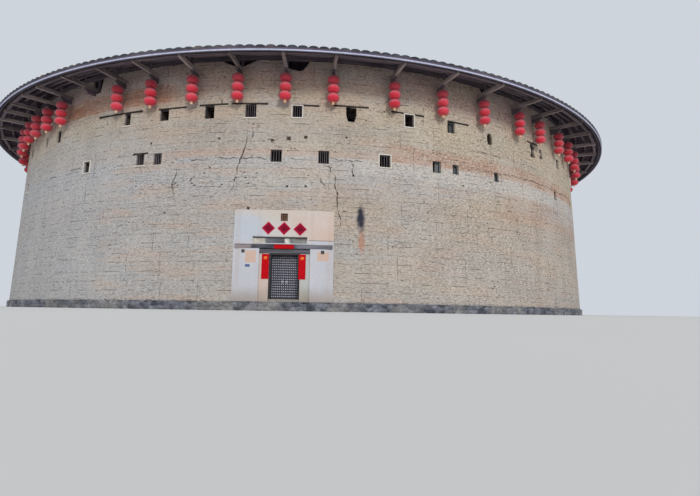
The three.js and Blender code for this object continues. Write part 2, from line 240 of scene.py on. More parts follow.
def copies(template, centres, seed, along=(1.0, 0, 0), across=(0, 1.0, 0), stretch=1.0):
    # Each copy's point is its centre plus x times along, y times across and z times their cross
    # product. Its local coordinates are shifted at random, so that no two copies show one grain.
    centres = np.asarray(centres, float).reshape(-1, 3)
    count = len(centres)
    along, across = (np.broadcast_to(axis, (count, 3)) for axis in (along, across))
    x, y, z = template["points"].T
    x = x[None] * np.broadcast_to(stretch, count)[:, None]
    points = (centres[:, None] + x[..., None] * along[:, None] + y[None, :, None] * across[:, None]
              + z[None, :, None] * np.cross(along, across)[:, None])
    random = np.random.default_rng(seed)
    shift = random.uniform(-40, 40, (count, 1, 3))
    local = np.stack(np.broadcast_arrays(x, y[None], z[None]), axis=-1) + shift
    tint = np.repeat(random.uniform(0, 1, count), len(template["points"]))
    first = np.arange(count)[:, None, None] * len(template["points"])
    faces = [(found[None] + first).reshape(-1, found.shape[1]) for found in template["faces"]]
    return makePart(points, faces, local, tint)


def putPiece(name, parts, material, body="building", replaces=(), sharpAngle=35.0):
    # Joins the parts into one mesh at model scale, with the local coordinates and the tint as
    # attributes, and hands it to the frame.
    start = np.cumsum([0] + [len(part["points"]) for part in parts[:-1]])
    faces = [found + first for part, first in zip(parts, start) for found in part["faces"]]
    corners = np.concatenate([found.ravel() for found in faces])
    sizes = np.concatenate([np.full(len(found), found.shape[1]) for found in faces])
    used, corners = np.unique(corners, return_inverse=True)
    points, localValues, tints = (np.concatenate([part[key] for part in parts])[used].astype(np.float32)
                              for key in ("points", "local", "tint"))
    mesh = bpy.data.meshes.new(name)
    mesh.vertices.add(len(points))
    mesh.vertices.foreach_set("co", points.ravel() * modelScale)
    mesh.loops.add(len(corners))
    mesh.loops.foreach_set("vertex_index", corners.ravel().astype(np.int32))
    mesh.polygons.add(len(sizes))
    mesh.polygons.foreach_set("loop_start", (np.cumsum(sizes) - sizes).astype(np.int32))
    mesh.polygons.foreach_set("use_smooth", np.ones(len(sizes), bool))
    mesh.update(calc_edges=True)
    mesh.set_sharp_from_angle(angle=math.radians(sharpAngle))
    mesh.attributes.new("local", "FLOAT_VECTOR", "POINT").data.foreach_set("vector", localValues.ravel())
    mesh.attributes.new("tint", "FLOAT", "POINT").data.foreach_set("value", tints)
    mesh.materials.append(material)
    piece = bpy.data.objects.new(name, mesh)
    bpy.context.scene.collection.objects.link(piece)
    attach(piece, body)
    if replaces:
        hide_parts(*replaces)


# Shader helpers. A field is an output of a node, and arithmetic on it adds Math nodes.

class Field:
    def __init__(self, tree, socket):
        self.tree, self.socket = tree, socket

    def math(self, operation, *others):
        return addNode(self.tree, "Math", dict(enumerate((self, *others))), operation=operation)

    def __add__(self, other):
        return self.math("ADD", other)

    def __sub__(self, other):
        return self.math("SUBTRACT", other)

    def __mul__(self, other):
        return self.math("MULTIPLY", other)


def setInputs(node, inputs):
    for key, value in inputs.items():
        if isinstance(value, Field):
            value.tree.links.new(value.socket, node.inputs[key])
        else:
            node.inputs[key].default_value = value


def addNode(tree, kind, inputs, output=0, **settings):
    node = tree.nodes.new("ShaderNode" + kind)
    for name, value in settings.items():
        setattr(node, name, value)
    setInputs(node, inputs)
    return Field(tree, node.outputs[output])


def vectorMath(operation, vector, other, output=0):
    return addNode(vector.tree, "VectorMath", {0: vector, 1: other}, output, operation=operation)


def axesOf(vector):
    node = addNode(vector.tree, "SeparateXYZ", {0: vector}).socket.node
    return [Field(vector.tree, socket) for socket in node.outputs]


def tone(red, green, blue):
    # A screen colour from 0 to 255 as the linear colour that shaders take.
    share = np.array([red, green, blue]) / 255
    linear = np.where(share <= 0.04045, share / 12.92, ((share + 0.055) / 1.055) ** 2.4)
    return (*linear.tolist(), 1.0)


def mixColour(factor, first, second, blend="MIX"):
    tree = next(value.tree for value in (factor, first) if isinstance(value, Field))
    return addNode(tree, "Mix", {0: factor, 6: first, 7: second}, 2, data_type="RGBA", blend_type=blend)


def tinted(colour, mask, target):
    return mixColour(mask, colour, tone(*target))


def noise(vector, scale, detail=4.0, roughness=0.55):
    # The scale is one number, or one for each axis.
    if isinstance(scale, tuple):
        vector, scale = vectorMath("MULTIPLY", vector, scale), 1.0
    return addNode(vector.tree, "TexNoise", {"Vector": vector, "Scale": scale, "Detail": detail,
                                             "Roughness": roughness})


def remap(value, low, high, toLow=0.0, toHigh=1.0):
    return addNode(value.tree, "MapRange", {0: value, 1: low, 2: high, 3: toLow, 4: toHigh},
                   interpolation_type="SMOOTHSTEP")


def bandMask(value, start, stop, soft):
    # One between start and stop, falling to nought over the soft distance outside them.
    return remap(value, start - soft, start) * remap(value, stop, stop + soft, 1.0, 0.0)


def colourRamp(value, stops):
    # Stops are pairs of a value and a screen colour, in rising order.
    low, high = stops[0][0], stops[-1][0]
    share = (value - low).math("DIVIDE", high - low)
    colour = addNode(value.tree, "ValToRGB", {0: share})
    elements = colour.socket.node.color_ramp.elements
    for spare in stops[2:]:
        elements.new(0.5)
    for element, (place, screen) in zip(elements, stops):
        element.position = (place - low) / (high - low)
        element.color = tone(*screen)
    return colour


def newMaterial(name, roughness=0.9, specular=0.5):
    material = bpy.data.materials.new(name)
    material.use_nodes = True
    setInputs(material.node_tree.nodes["Principled BSDF"],
              {"Roughness": roughness, "Specular IOR Level": specular})
    return material, material.node_tree


def finished(material, colour, height=None, distance=0.01, strength=0.6, **others):
    inputs = {"Base Color": colour, **others}
    if height is not None:
        inputs["Normal"] = addNode(material.node_tree, "Bump", {
            "Height": height, "Distance": distance * modelScale, "Strength": strength})
    setInputs(material.node_tree.nodes["Principled BSDF"], inputs)
    return material


def attributeOf(tree, name, output):
    return addNode(tree, "Attribute", {}, output, attribute_name=name)


def realPosition(tree):
    # Object coordinates brought back to real metres.
    return vectorMath("MULTIPLY", addNode(tree, "TexCoord", {}, "Object"), (1 / modelScale,) * 3)


def newGroup(name, inputs, outputs):
    group = bpy.data.node_groups.new(name, "ShaderNodeTree")
    for way, sockets in (("INPUT", inputs), ("OUTPUT", outputs)):
        for label, kind in sockets.items():
            group.interface.new_socket(label, in_out=way, socket_type="NodeSocket" + kind)
    entry = group.nodes.new("NodeGroupInput").outputs
    return group, [Field(group, entry[label]) for label in inputs], group.nodes.new("NodeGroupOutput")


def placeGroup(tree, group, **inputs):
    node = tree.nodes.new("ShaderNodeGroup")
    node.node_tree = group
    setInputs(node, inputs)
    return [Field(tree, socket) for socket in node.outputs]


def weatheringGroup():
    # Large blotches, upright rain streaks and a fine grain over a base colour.
    group, (place, base, pale, dark, blotch, streak, grain), leave = newGroup(
        "weathering", {"Place": "Vector", "Base": "Color", "Pale": "Color", "Dark": "Color",
                       "Blotch": "Float", "Streak": "Float", "Grain": "Float"},
        {"Color": "Color", "Height": "Float"})
    colour = mixColour(remap(noise(place, 0.45, 5), 0.42, 0.62) * blotch, base, pale)
    colour = mixColour(remap(noise(place, (2.2, 2.2, 0.16), 5), 0.5, 0.72) * streak, colour, dark)
    fine = noise(place, 9.0, 6, 0.65)
    colour = mixColour(remap(fine, 0.45, 0.68) * grain, colour, dark)
    setInputs(leave, {"Color": colour, "Height": fine})
    return group


def woodFibreGroup():
    # Long fibres along the first local coordinate, with greyed patches and a tint for each timber.
    group, (local, tint, light, dark, grey, greying), leave = newGroup(
        "woodFibre", {"Local": "Vector", "Tint": "Float", "Light": "Color", "Dark": "Color",
                      "Grey": "Color", "Greying": "Float"},
        {"Color": "Color", "Height": "Float"})
    fibres = noise(local, (0.7, 16.0, 16.0), 6, 0.6)
    mixed = fibres * 0.6 + noise(local, (0.25, 4.0, 4.0), 3) * 0.4 + tint * 0.16
    colour = mixColour(remap(mixed, 0.42, 0.72), dark, light)
    greyed = remap(noise(local, (0.65, 3.9, 3.9), 4), 0.45, 0.65)
    setInputs(leave, {"Color": mixColour(greyed * greying, colour, grey), "Height": fibres})
    return group


def spotGroup():
    # A soft-edged oval spot on the local coordinates, broken up by noise.
    group, (local, centre, size, raggedness), leave = newGroup(
        "spot", {"Local": "Vector", "Centre": "Vector", "Size": "Vector", "Raggedness": "Float"},
        {"Mask": "Float"})
    scaled = vectorMath("DIVIDE", vectorMath("SUBTRACT", local, centre), size)
    reach = vectorMath("LENGTH", scaled, (0, 0, 0), "Value") + noise(local, 3.0, 5) * raggedness
    setInputs(leave, {"Mask": remap(reach, 0.65, 1.25, 1.0, 0.0)})
    return group


weathering, woodFibre, spot = weatheringGroup(), woodFibreGroup(), spotGroup()


def weathered(tree, base, pale, dark, blotch, streak, grain):
    return placeGroup(tree, weathering, Place=realPosition(tree), Base=base, Pale=tone(*pale),
                      Dark=tone(*dark), Blotch=blotch, Streak=streak, Grain=grain)


def agedMaterial(name, base, pale, dark, blotch, streak, grain=0.3, roughness=0.9):
    material, tree = newMaterial(name, roughness)
    return finished(material, *weathered(tree, tone(*base), pale, dark, blotch, streak, grain))


def fibrous(tree, light, dark, grey, greying):
    return placeGroup(tree, woodFibre, Local=attributeOf(tree, "local", "Vector"),
                      Tint=attributeOf(tree, "tint", "Fac"), Light=light, Dark=dark, Grey=tone(*grey),
                      Greying=greying)


def woodMaterial(name, light, dark, grey, greying=0.4, roughness=0.8):
    material, tree = newMaterial(name, roughness)
    return finished(material, *fibrous(tree, tone(*light), tone(*dark), grey, greying))


# Rammed earth: a band of colour for each height, darker at the top as painted shade under the eaves,
# courses, joints, pits, stains and painted shadow in the openings

earthColours = {
    # height above the ground and the screen colour there; above 13.2 m the stops grow darker towards the
    # wall top, painted shade under the eaves over the earth's own tone
    "bands": [(0.5, (178, 169, 160)), (4.2, (180, 169, 156)), (6.4, (178, 160, 144)),
              (7.4, (184, 180, 178)), (8.7, (185, 182, 181)), (9.4, (178, 166, 154)),
              (10.4, (176, 165, 152)), (11.6, (186, 172, 150)), (12.6, (190, 167, 148)),
              (13.2, (212, 175, 161)), (13.7, (190, 154, 146)), (14.8, (152, 124, 124))],
    "grey": (178, 181, 186),
    "sand": (200, 185, 160),
    "orange": (198, 164, 142),
    "blush": (196, 170, 152),
    "redEarth": (184, 126, 98),
    "redBand": (190, 142, 118),
    "line": (84, 72, 66),
    "pit": (66, 54, 48),
    "pale": (228, 221, 208),
    "paleBand": (206, 200, 196),
    "shade": (98, 86, 78),
    # painted shadow for the earth inside the openings
    "revealShadow": (46, 38, 36),
    "soot": (30, 36, 56),
    "rust": (176, 116, 88),
}
earthPattern = {
    "lift": 0.54, "course": 0.27, "wobble": 0.03,
    "uprightSpace": 2.3, "uprightHeight": 1.62, "uprightShare": 0.66,
    "pitScale": 2.6,
}


def levelLines(local, height, spacing, width, kept, shift):
    # Lines at every multiple of the spacing, kept where a drawn-out noise is above a limit.
    line = remap(height.math("PINGPONG", spacing / 2), 0.35 * width, width, 1.0, 0.0)
    moved = vectorMath("ADD", local, (shift,) * 3)
    return line * remap(noise(moved, (0.8, 1 / spacing, 1.0), 5, 0.65), kept, kept + 0.07)


def uprightLines(local, arc, height):
    # A grid of cells, each row of it shifted by a random amount, with a hairline up the middle of
    # those cells whose own random value is high.
    tree, space = local.tree, earthPattern["uprightSpace"]
    row = height.math("SNAP", earthPattern["uprightHeight"])
    stagger = addNode(tree, "TexWhiteNoise", {"W": row}, noise_dimensions="1D")
    run = stagger * space + arc + noise(local, 1.5, 3) * 0.12
    column = run.math("SNAP", space)
    cell = addNode(tree, "CombineXYZ", {0: column, 1: row})
    chance = addNode(tree, "TexWhiteNoise", {"Vector": cell}, noise_dimensions="3D")
    line = remap((run - column - space / 2).math("ABSOLUTE"), 0.008, 0.026, 1.0, 0.0)
    broken = remap(noise(local, (3.0, 1.6, 1.0), 3), 0.4, 0.55)
    return line * chance.math("GREATER_THAN", earthPattern["uprightShare"]) * broken


def rammedEarthMaterial():
    material, tree = newMaterial("rammedEarth", 0.95, 0.2)
    local, place = attributeOf(tree, "local", "Vector"), realPosition(tree)
    arc, height, depth = axesOf(local)
    across = axesOf(place)[0]       # unbroken all round the ring
    ragged = noise(place, 0.3, 5) * 1.4 - 0.7
    loose = ragged * 0.12 + height
    level = noise(local, (0.1, 0.5, 1.0), 5)
    strata = noise(local, (0.5, 9.0, 1.0), 6, 0.7)
    colour = colourRamp(height + ragged, earthColours["bands"])
    leftward = remap(across, -13.0, 3.0, 0.85, 0.2) * remap(height, 8.0, 12.2, 1.0, 0.15)
    rightward = remap(across, 2.0, 12.0, 0.46, 0.78)

    # Sandy level patches, cool ones and warm ones
    sandy = remap(level, 0.44, 0.6) * remap(across, -14.0, 10.0) * remap(height, 5.0, 8.0, 0.4, 1.0)
    cool = remap(noise(place, (0.25, 0.25, 0.9)), 0.5, 0.66) * remap(across, 3.0, 12.0, 0.4, 0.12)
    blush = remap(noise(local, (0.182, 1.17, 1.3)), 0.47, 0.62) * bandMask(arc, -11.0, 27.0, 2.0)

    # The orange lift over a joint, bands on the right and red earth under the eaves on the left
    wide = bandMask(arc + ragged, -6.0, 6.7, 2.5) * 0.42 + 0.08
    lift = remap(loose, 8.78, 8.88) * remap(loose, 9.5, 9.1)
    streaked = (bandMask(arc, 7.0, 26.0, 2.0) * bandMask(loose, 8.85, 9.75, 0.25)
                * remap(strata, 0.4, 0.6, 0.45, 1.0))
    layers = [(leftward * 0.9, "grey"), (sandy * 0.65, "sand"), (cool, "grey"), (blush * 0.5, "blush"),
              (lift * wide, "orange"), (streaked * 0.85, "redBand")]
    for key, start, low, high, soft, strength in (("sand", 9.0, 9.85, 12.3, 0.5, 0.5),
                                                  ("paleBand", 5.0, 7.95, 8.75, 0.2, 0.75),
                                                  ("redBand", 16.0, 6.3, 7.6, 0.4, 0.4)):
        band = bandMask(arc, start, 27.0, 3.0) * bandMask(loose, low, high, soft)
        layers.append((band * remap(level, 0.35, 0.6, 0.45, 1.0) * strength, key))
    redPlace = bandMask(arc, -17.5, -8.0, 1.5) * bandMask(loose, 12.5, 13.3, 0.25)

    # Fine strata, and a grain of small stones that grows coarser to the right
    grains = noise(local, (4.6, 21.0, 1.0), 4, 0.7)
    layers += [(redPlace * remap(strata, 0.32, 0.5) * 0.95, "redEarth"),
               (remap(strata, 0.5, 0.68) * 0.26, "shade"), (remap(strata, 0.46, 0.32) * 0.24, "pale"),
               (remap(grains, 0.505, 0.6) * rightward * 0.7, "shade"),
               (remap(grains, 0.495, 0.4) * rightward * 0.6, "pale")]
    for mask, key in layers:
        colour = tinted(colour, mask, earthColours[key])
    colour, rough = weathered(tree, colour, (204, 198, 190), (122, 110, 100), 0.25, 0.12, 0.5)

    # Joints between lifts and courses, hairlines between blocks
    wobble = earthPattern["wobble"]
    wavy = height + noise(local, 0.5) * (4 * wobble) - 2 * wobble
    lifts = levelLines(local, wavy, earthPattern["lift"], 0.024, 0.5, 0.0)
    courses = levelLines(local, wavy, earthPattern["course"], 0.014, 0.52, 31.0)
    lines = lifts.math("MAXIMUM", courses * 0.6)
    lines = lines.math("MAXIMUM", uprightLines(local, arc, height) * 0.8)

    # Pits along the courses and short level scratches, in clusters, most of them on the right
    cells = addNode(tree, "TexVoronoi", {"Vector": vectorMath("MULTIPLY", local, (0.8, 1.7, 1.0)),
                                         "Scale": earthPattern["pitScale"], "Randomness": 1.0})
    rows = bandMask(arc, -10.0, -0.5, 1.0) * bandMask(height, 6.9, 7.75, 0.15)
    crowd = noise(place, (0.35, 0.35, 0.9)) - 0.06 + rightward * 0.14 + rows * 0.16
    pits = remap(cells - remap(crowd, 0.46, 0.7, -0.02, 0.17), -0.03, 0.03, 1.0, 0.0)
    scratched = noise(local, (2.6, 15.0, 1.0), 2, 0.5) + crowd * 0.22
    marks = pits.math("MAXIMUM", remap(scratched, 0.775, 0.84, 0.0, 0.8))
    # Painted shadow: the earth inside the openings darkens with depth, standing for the shade there.
    inside = bandMask(depth, -1.38, -0.3, 0.2)      # earth in the openings stays in shadow
    layers = [(lines * 0.6, "line"), (marks * 0.85, "pit"), (inside * 0.85, "revealShadow")]

    # The soot stain beside the door and the rust under it
    for key, centre, size, strength in (("soot", (4.3, 5.3, 0), (0.36, 1.1, 3.0), 0.95),
                                        ("rust", (4.35, 3.9, 0), (0.3, 0.9, 3.0), 0.6)):
        mask, = placeGroup(tree, spot, Local=local, Centre=centre, Size=size, Raggedness=0.7)
        layers.append((mask * strength, key))
    for mask, key in layers:
        colour = tinted(colour, mask, earthColours[key])
    return finished(material, colour, rough * 0.4 - lines.math("MAXIMUM", marks), 0.03, 0.8)


# Rammed wall

rammedWall = {
    "steps": (arcDegrees(0.22), 0.2),           # columns in degrees, rows in metres
    "spaces": (arcDegrees(0.05), 0.05),         # room kept clear beside an edge of an opening
    "inset": 0.03,
    "swells": ((4.0, 0.0132, 11), (1.1, 0.0066, 12)),       # size, height and seed
    "liftHeight": 0.53,
    "liftBay": 4.5,
    "liftStep": 0.008,
    "edgeFalloff": 0.3,     # how far round a shaped window the grid gives way
    "fallFoot": 13.5,       # only the rows above this height give way to fallen courses
    "topUneven": 0.04,
    "innerUneven": (0.01, 0.8, 20),     # height, size and the radius where the noise is read
}
topRow, lowerRow = 11.55, 8.85


def opening(centre, bearing, width, height, **others):
    return {"centre": centre, "bearing": bearing, "width": width, "height": height, **others,
            "side": arcDegrees(width / 2), "low": centre - height / 2, "high": centre + height / 2}


windows = [
    opening(topRow, -43, 0.40, 0.80),
    opening(topRow, -38.5, 0.60, 0.85),
    opening(topRow, -23, 0.48, 0.80, lintel=(-2.3, 1.0), sill=True),
    opening(topRow, -17, 0.62, 0.68, lintel=(-0.25, 1.3)),
    opening(topRow, -10.5, 0.60, 0.80, lintel=(-0.5, 1.0)),
    opening(topRow, -5, 0.66, 0.82, lintel=(-0.97, 0.85), bars=4, sill=True),
    opening(topRow, 1, 0.57, 0.70, surround=True, lintel=(-0.1, 1.15), bars=3),
    opening(topRow, 8, 0.64, 0.90, shape="broken", lintel=(-0.95, 0.9)),
    opening(topRow, 16, 0.60, 0.78, surround=True, lintel=(-1.0, 0.85)),
    opening(topRow, 22.5, 0.56, 0.70, pale=True, lintel=(-0.1, 1.25)),
    opening(11.35, 29.5, 0.50, 0.78, shape="oval"),
    opening(topRow, 40, 0.70, 1.00, shape="ragged", pale=True, lintel=(-0.5, 0.5)),
    opening(topRow, 42.7, 0.48, 0.74, shape="ragged"),
    opening(topRow, 50, 0.60, 0.76),
    opening(lowerRow, -30, 0.60, 0.72, surround=True),
    opening(lowerRow, -20.2, 0.58, 0.70, lintel=(-0.4, 0.4), sill=True, bars=3),
    opening(lowerRow, -17.5, 0.56, 0.70, bars=3),
    opening(lowerRow, -1.5, 0.66, 0.74, bars=3),
    opening(lowerRow, 4.5, 0.64, 0.78, bars=4),
    opening(lowerRow, 12.5, 0.68, 0.74, surround=True, bars=3),
    opening(lowerRow, 20, 0.58, 0.74, pale=True),
    opening(lowerRow, 23, 0.46, 0.62, pale=True),
    opening(lowerRow, 30.5, 0.44, 0.62, pale=True),
    opening(lowerRow, 47.5, 0.50, 0.64),
]
for bay in range(9, 49):
    # Round the rest they are alike, one a bay, and every fourth bay of the lower row is blind
    turned = bay * bayAngle - (360 if bay > 31 else 0)
    lintel = (-0.5 - 0.1 * (bay % 4), 0.9) if bay % 3 == 1 else None
    windows.append(opening(topRow, turned, 0.56, 0.70, bars=3, surround=bay % 5 == 0, lintel=lintel))
    if bay % 4 != 3:
        windows.append(opening(lowerRow, turned, 0.56, 0.70, bars=3, sill=bay % 4 == 0))

# Holes left by the scaffold poles: bearing, height and half size
poleHoles = [(-2.1, 9.78, 0.09), (0.02, 9.9, 0.125), (2.17, 10.01, 0.1), (0.0, 7.05, 0.06),
             (2.32, 7.08, 0.06), (7.4, 10.12, 0.06), (8.3, 7.84, 0.055), (-8.98, 9.9, 0.07),
             (-9.99, 8.15, 0.055), (-15.8, 5.55, 0.07), (-4.73, 5.74, 0.08), (-26.6, 11.48, 0.07),
             (-18.7, 9.84, 0.08), (-36.8, 9.84, 0.07), (24.2, 7.9, 0.06), (33.0, 7.5, 0.06)]
poleHole = {"depth": 0.3, "lip": 0.02}

# Where the top of the wall has fallen away: bearing and the drop there
fallenCourses = [
    [(-30.45, 0), (-30.4, 0.9), (-28.8, 0.95), (-28.6, 0.1), (-28.5, 0)],
    [(-9.2, 0), (-8.1, 0.25), (-6.9, 0.42), (-6.2, 0.4), (-5.4, 0.2), (-4.4, 0)],
    [(-0.9, 0), (-0.8, 0.35), (-0.3, 0.5), (0.6, 0.6), (1.2, 0.66), (1.7, 0.55), (2.1, 0.3), (2.4, 0)],
    [(27.9, 0), (28.1, 0.3), (28.8, 0.35), (29.5, 0.25), (29.7, 0)],
    [(53.6, 0), (53.9, 0.35), (54.5, 0.4), (55.2, 0.3), (55.4, 0)],
]
doorway = {
    "half": 1.415, "high": 3.3, "front": -26.18, "back": -24.9, "overlap": 0.02, "jambRise": 0.1,
    "recess": (2.3, 3.2, 3.76, 26.0),        # half width, bottom, top and radius behind the long beam
    "vent": (-0.285, 0.115, 5.01, 5.45),     # left, right, bottom and top
}


def cutLines(start, stop, step, cuts, space):
    # Regular lines from start to stop, with each cut line kept and the regular ones near it left out.
    regular = np.linspace(start, stop, round((stop - start) / step) + 1)
    cuts = np.unique(np.round([cut for cut in cuts if start < cut < stop], 6))
    clear = np.all(np.abs(regular[:, None] - cuts) > space, axis=1)
    clear[[0, -1]] = True
    return np.sort(np.concatenate([regular[clear], cuts]))


def cutGrid(left, right, low, high, steps, spaces, holes, dents=()):
    # Columns and rows with lines on every edge of the holes and dents, given as left, right, low
    # and high, and a mask of the cells whose middle lies outside all holes.
    edges = np.array([*holes, *dents, (left, left, low, low)]).T
    columns = cutLines(left, right, steps[0], edges[:2].ravel(), spaces[0])
    rows = cutLines(low, high, steps[1], edges[2:].ravel(), spaces[1])
    midX, midZ = np.meshgrid((columns[1:] + columns[:-1]) / 2, (rows[1:] + rows[:-1]) / 2)
    keep = np.ones(midX.shape, bool)
    for x0, x1, z0, z1 in holes:
        keep &= ~((midX > x0) & (midX < x1) & (midZ > z0) & (midZ < z1))
    return *np.meshgrid(columns, rows), keep


def wallFace(bearing, height):
    # The battered radius less an even inset, with broad swells and a small step at each lift.
    place = polar(bearing, house["wallRadius"], height)
    swell = sum(rise * smoothNoise(place, size, seed) for size, rise, seed in rammedWall["swells"])
    lift = np.floor((height - house["wallFoot"]) / rammedWall["liftHeight"])
    step = hashedGrid(lift, np.floor(bearing / rammedWall["liftBay"]), 13) - 0.5
    return wallRadius(height) - rammedWall["inset"] + swell + rammedWall["liftStep"] * step


def windowShape(shape, share):
    # Half width of an opening at a share of its height, as a share of the full half width.
    if shape == "oval":
        return 0.5 + 0.5 * np.sqrt(np.clip(1 - (2 * share - 1) ** 2, 0, 1))
    if shape == "broken":
        return np.clip(0.62 + 0.9 * share, 0, 1)
    return 0.75 + 0.25 * np.sin(share * 9 + 1)


def wallSegment(start, stop):
    inside = [window for window in windows if start < window["bearing"] < stop]
    holes = [(w["bearing"] - w["side"], w["bearing"] + w["side"], w["low"], w["high"]) for w in inside]
    withDoor = start < 0 < stop
    if withDoor:
        side = arcDegrees(doorway["half"])
        left, right, low, high = doorway["vent"]
        holes += [(-side, side, 0.0, doorway["high"]), (arcDegrees(left), arcDegrees(right), low, high)]
    pockets = [pocket for pocket in poleHoles if start < pocket[0] < stop]
    lip = poleHole["lip"]
    dents = [(place - arcDegrees(reach), place + arcDegrees(reach), level - reach, level + reach)
             for place, level, half in pockets for reach in (half, half - lip)]
    bearing, height, keep = cutGrid(start, stop, house["wallFoot"], house["wallTop"], rammedWall["steps"],
                                    rammedWall["spaces"], holes, dents)
    columns = bearing[0]

    # Shaped windows draw the lines beside them in or out
    for window in inside:
        if "shape" in window:
            share = np.clip((height - window["low"]) / window["height"], 0, 1)
            away = bearing - window["bearing"]
            beyond = (np.abs(away) - window["side"]) / arcDegrees(rammedWall["edgeFalloff"])
            near = np.abs(height - window["centre"]) < window["height"] / 2 + 0.001
            drawn = window["side"] * (windowShape(window["shape"], share) - 1)
            bearing = bearing + near * np.clip(1 - beyond, 0, 1) * np.sign(away) * drawn

    # Fallen courses pull the top rows down
    foot, wallTop = rammedWall["fallFoot"], house["wallTop"]
    drops = [np.interp(columns, *np.array(fall).T) for fall in fallenCourses]
    uneven = rammedWall["topUneven"] * hashedGrid(np.arange(len(columns)), 0.0, 5)
    top = wallTop - np.max(drops, axis=0) - uneven
    share = (height - foot) / (wallTop - foot)
    height = np.where(share > 0, foot + share * (top - foot), height)

    radius = wallFace(bearing, height)
    for place, level, half in pockets:
        reach = half - lip / 2
        within = (np.abs(bearing - place) < arcDegrees(reach)) & (np.abs(height - level) < reach)
        radius = np.where(within, radius - poleHole["depth"], radius)
    arc = np.radians(bearing) * house["wallRadius"]
    if withDoor:
        half, low, high, back = doorway["recess"]
        radius = np.where((np.abs(arc) < half) & (height > low) & (height < high), back, radius)
    rise, size, readAt = rammedWall["innerUneven"]
    innerRadius = house["wallInner"] + rise * smoothNoise(polar(bearing, readAt, height), size, 17)
    local = np.stack([arc, height, 0 * arc], axis=-1)
    return slabPart(polar(bearing, radius, height), polar(bearing, innerRadius, height), keep,
                    local, local - [0, 0, house["wallRadius"] - house["wallInner"]])


def doorJambs():
    # Both sides of the passage, from its plain face back to the inner face of the wall.
    inner, outer = house["passageHalf"], doorway["half"] + doorway["overlap"]
    return [blockPart(left, right, doorway["front"], doorway["back"], house["wallFoot"],
                      house["doorHead"] + doorway["jambRise"])
            for left, right in ((-outer, -inner), (inner, outer))]


def buildWalls():
    earth = rammedEarthMaterial()
    segments = {"front": (-26.5, 26.0), "right_front": (26.0, 67.5), "right": (67.5, 112.5),
                "right_back": (112.5, 157.5), "back": (157.5, 202.5), "left_back": (-157.5, -112.5),
                "left": (-112.5, -67.5), "left_front": (-67.5, -26.5)}
    for side, (start, stop) in segments.items():
        parts, nodes = [wallSegment(start, stop)], ["wall_" + side]
        if side == "front":
            parts += doorJambs()
            nodes = ["wall_front_left", "wall_front_right", "wall_over_door"]
        putPiece("rammed_wall_" + side, parts, earth, replaces=nodes)
    print("walls:", len(segments), "segments,", len(windows), "windows")


buildWalls()

# Cracks and open joints: dark ribbons on the wall, as bearing and height

cracks = {
    "proud": 0.006, "ridge": 0.004,
    "step": 0.09,
    "stray": 0.09, "straySize": 0.2,
    "ends": (0.03, 0.97), "taper": 2.6,
    "pinch": (0.15, 1.5), "pinchSize": 0.13,
    "uprightWidth": 0.06,
    "upright": [
        [(-4.5, 11.05), (-4.6, 10.4), (-4.7, 9.93), (-5.3, 9.81), (-5.8, 8.84), (-6.4, 8.06),
         (-6.7, 7.23), (-7.1, 6.59)],
        [(-8.9, 11.99), (-8.7, 12.56), (-8.6, 12.93)],
        [(4.2, 8.51), (5.0, 8.3), (6.0, 7.78), (6.3, 6.60), (6.5, 5.78), (6.9, 4.63)],
        [(8.0, 8.73), (8.3, 8.20), (8.3, 7.78)], [(4.1, 7.62), (4.6, 7.09)],
        [(47.5, 8.4), (48.0, 7.7), (47.8, 7.2)], [(-14.5, 8.1), (-14.9, 7.2), (-14.6, 6.3)],
        [(17.4, 12.4), (17.5, 12.0)],
    ],
    "levelWidth": 0.042,
    "level": [
        [(-3.2, 12.67), (-1.8, 12.64)], [(-33.9, 8.82), (-31.0, 8.82)], [(-12.6, 8.66), (-10.4, 8.68)],
        [(-9.5, 8.72), (-6.2, 8.72)], [(-6.0, 8.68), (-2.3, 8.70)], [(5.6, 8.72), (9.5, 8.72)],
        [(24.0, 9.01), (30.9, 9.12), (38.9, 9.23), (49.5, 9.25), (57.1, 9.41)],
        [(14.2, 12.5), (16.0, 12.52)], [(26.0, 10.3), (31.0, 10.3)], [(-40.4, 8.63), (-37.5, 8.7)],
        [(72, 9.2), (84, 9.25)], [(-118, 9.2), (-104, 9.25)], [(150, 9.3), (166, 9.25)],
        [(-150, 6.0), (-141, 6.05)],
    ],
}


def crackPart(route, width, seed):
    # A ribbon with a ridge along its middle: the route is resampled, strays by noise and tapers
    # to its ends, and its three lines of points lie just proud of the wall's face.
    bearing, height = np.array(route, float).T
    arc = np.stack([np.radians(bearing) * house["wallRadius"], height])
    run = np.r_[0, np.cumsum(np.hypot(*np.diff(arc)))]
    samples = np.linspace(0, run[-1], max(4, int(run[-1] / cracks["step"])))
    line = np.column_stack([np.interp(samples, run, values) for values in arc])
    heading = np.gradient(line, axis=0)
    heading /= np.linalg.norm(heading, axis=1, keepdims=True)
    normal = np.column_stack([-heading[:, 1], heading[:, 0]])
    where = np.column_stack([line, np.zeros(len(line))])
    line = line + normal * (cracks["stray"] * smoothNoise(where, cracks["straySize"], seed))[:, None]
    share = np.clip(samples / run[-1], *cracks["ends"])
    half = width / 2 * np.clip(np.sin(np.pi * share) * cracks["taper"], 0, 1)
    half = half * np.clip(0.7 + 0.9 * smoothNoise(where, cracks["pinchSize"], seed + 1), *cracks["pinch"])
    edges = line + np.array([-1, 0, 1])[:, None, None] * normal * half[:, None]
    bearing, height = np.degrees(edges[..., 0] / house["wallRadius"]), edges[..., 1]
    proud = cracks["proud"] + np.array([[0], [cracks["ridge"]], [0]])
    return gridPart(polar(bearing, wallFace(bearing, height) + proud, height))


dark = agedMaterial("crackShadow", (70, 58, 50), (110, 92, 78), (34, 28, 26), 0.6, 0.2, 0.5)
putPiece("wall_cracks", [crackPart(route, cracks[way + "Width"], first + 2 * number)
                         for way, first in (("upright", 30), ("level", 80))
                         for number, route in enumerate(cracks[way])], dark)

# Window fittings

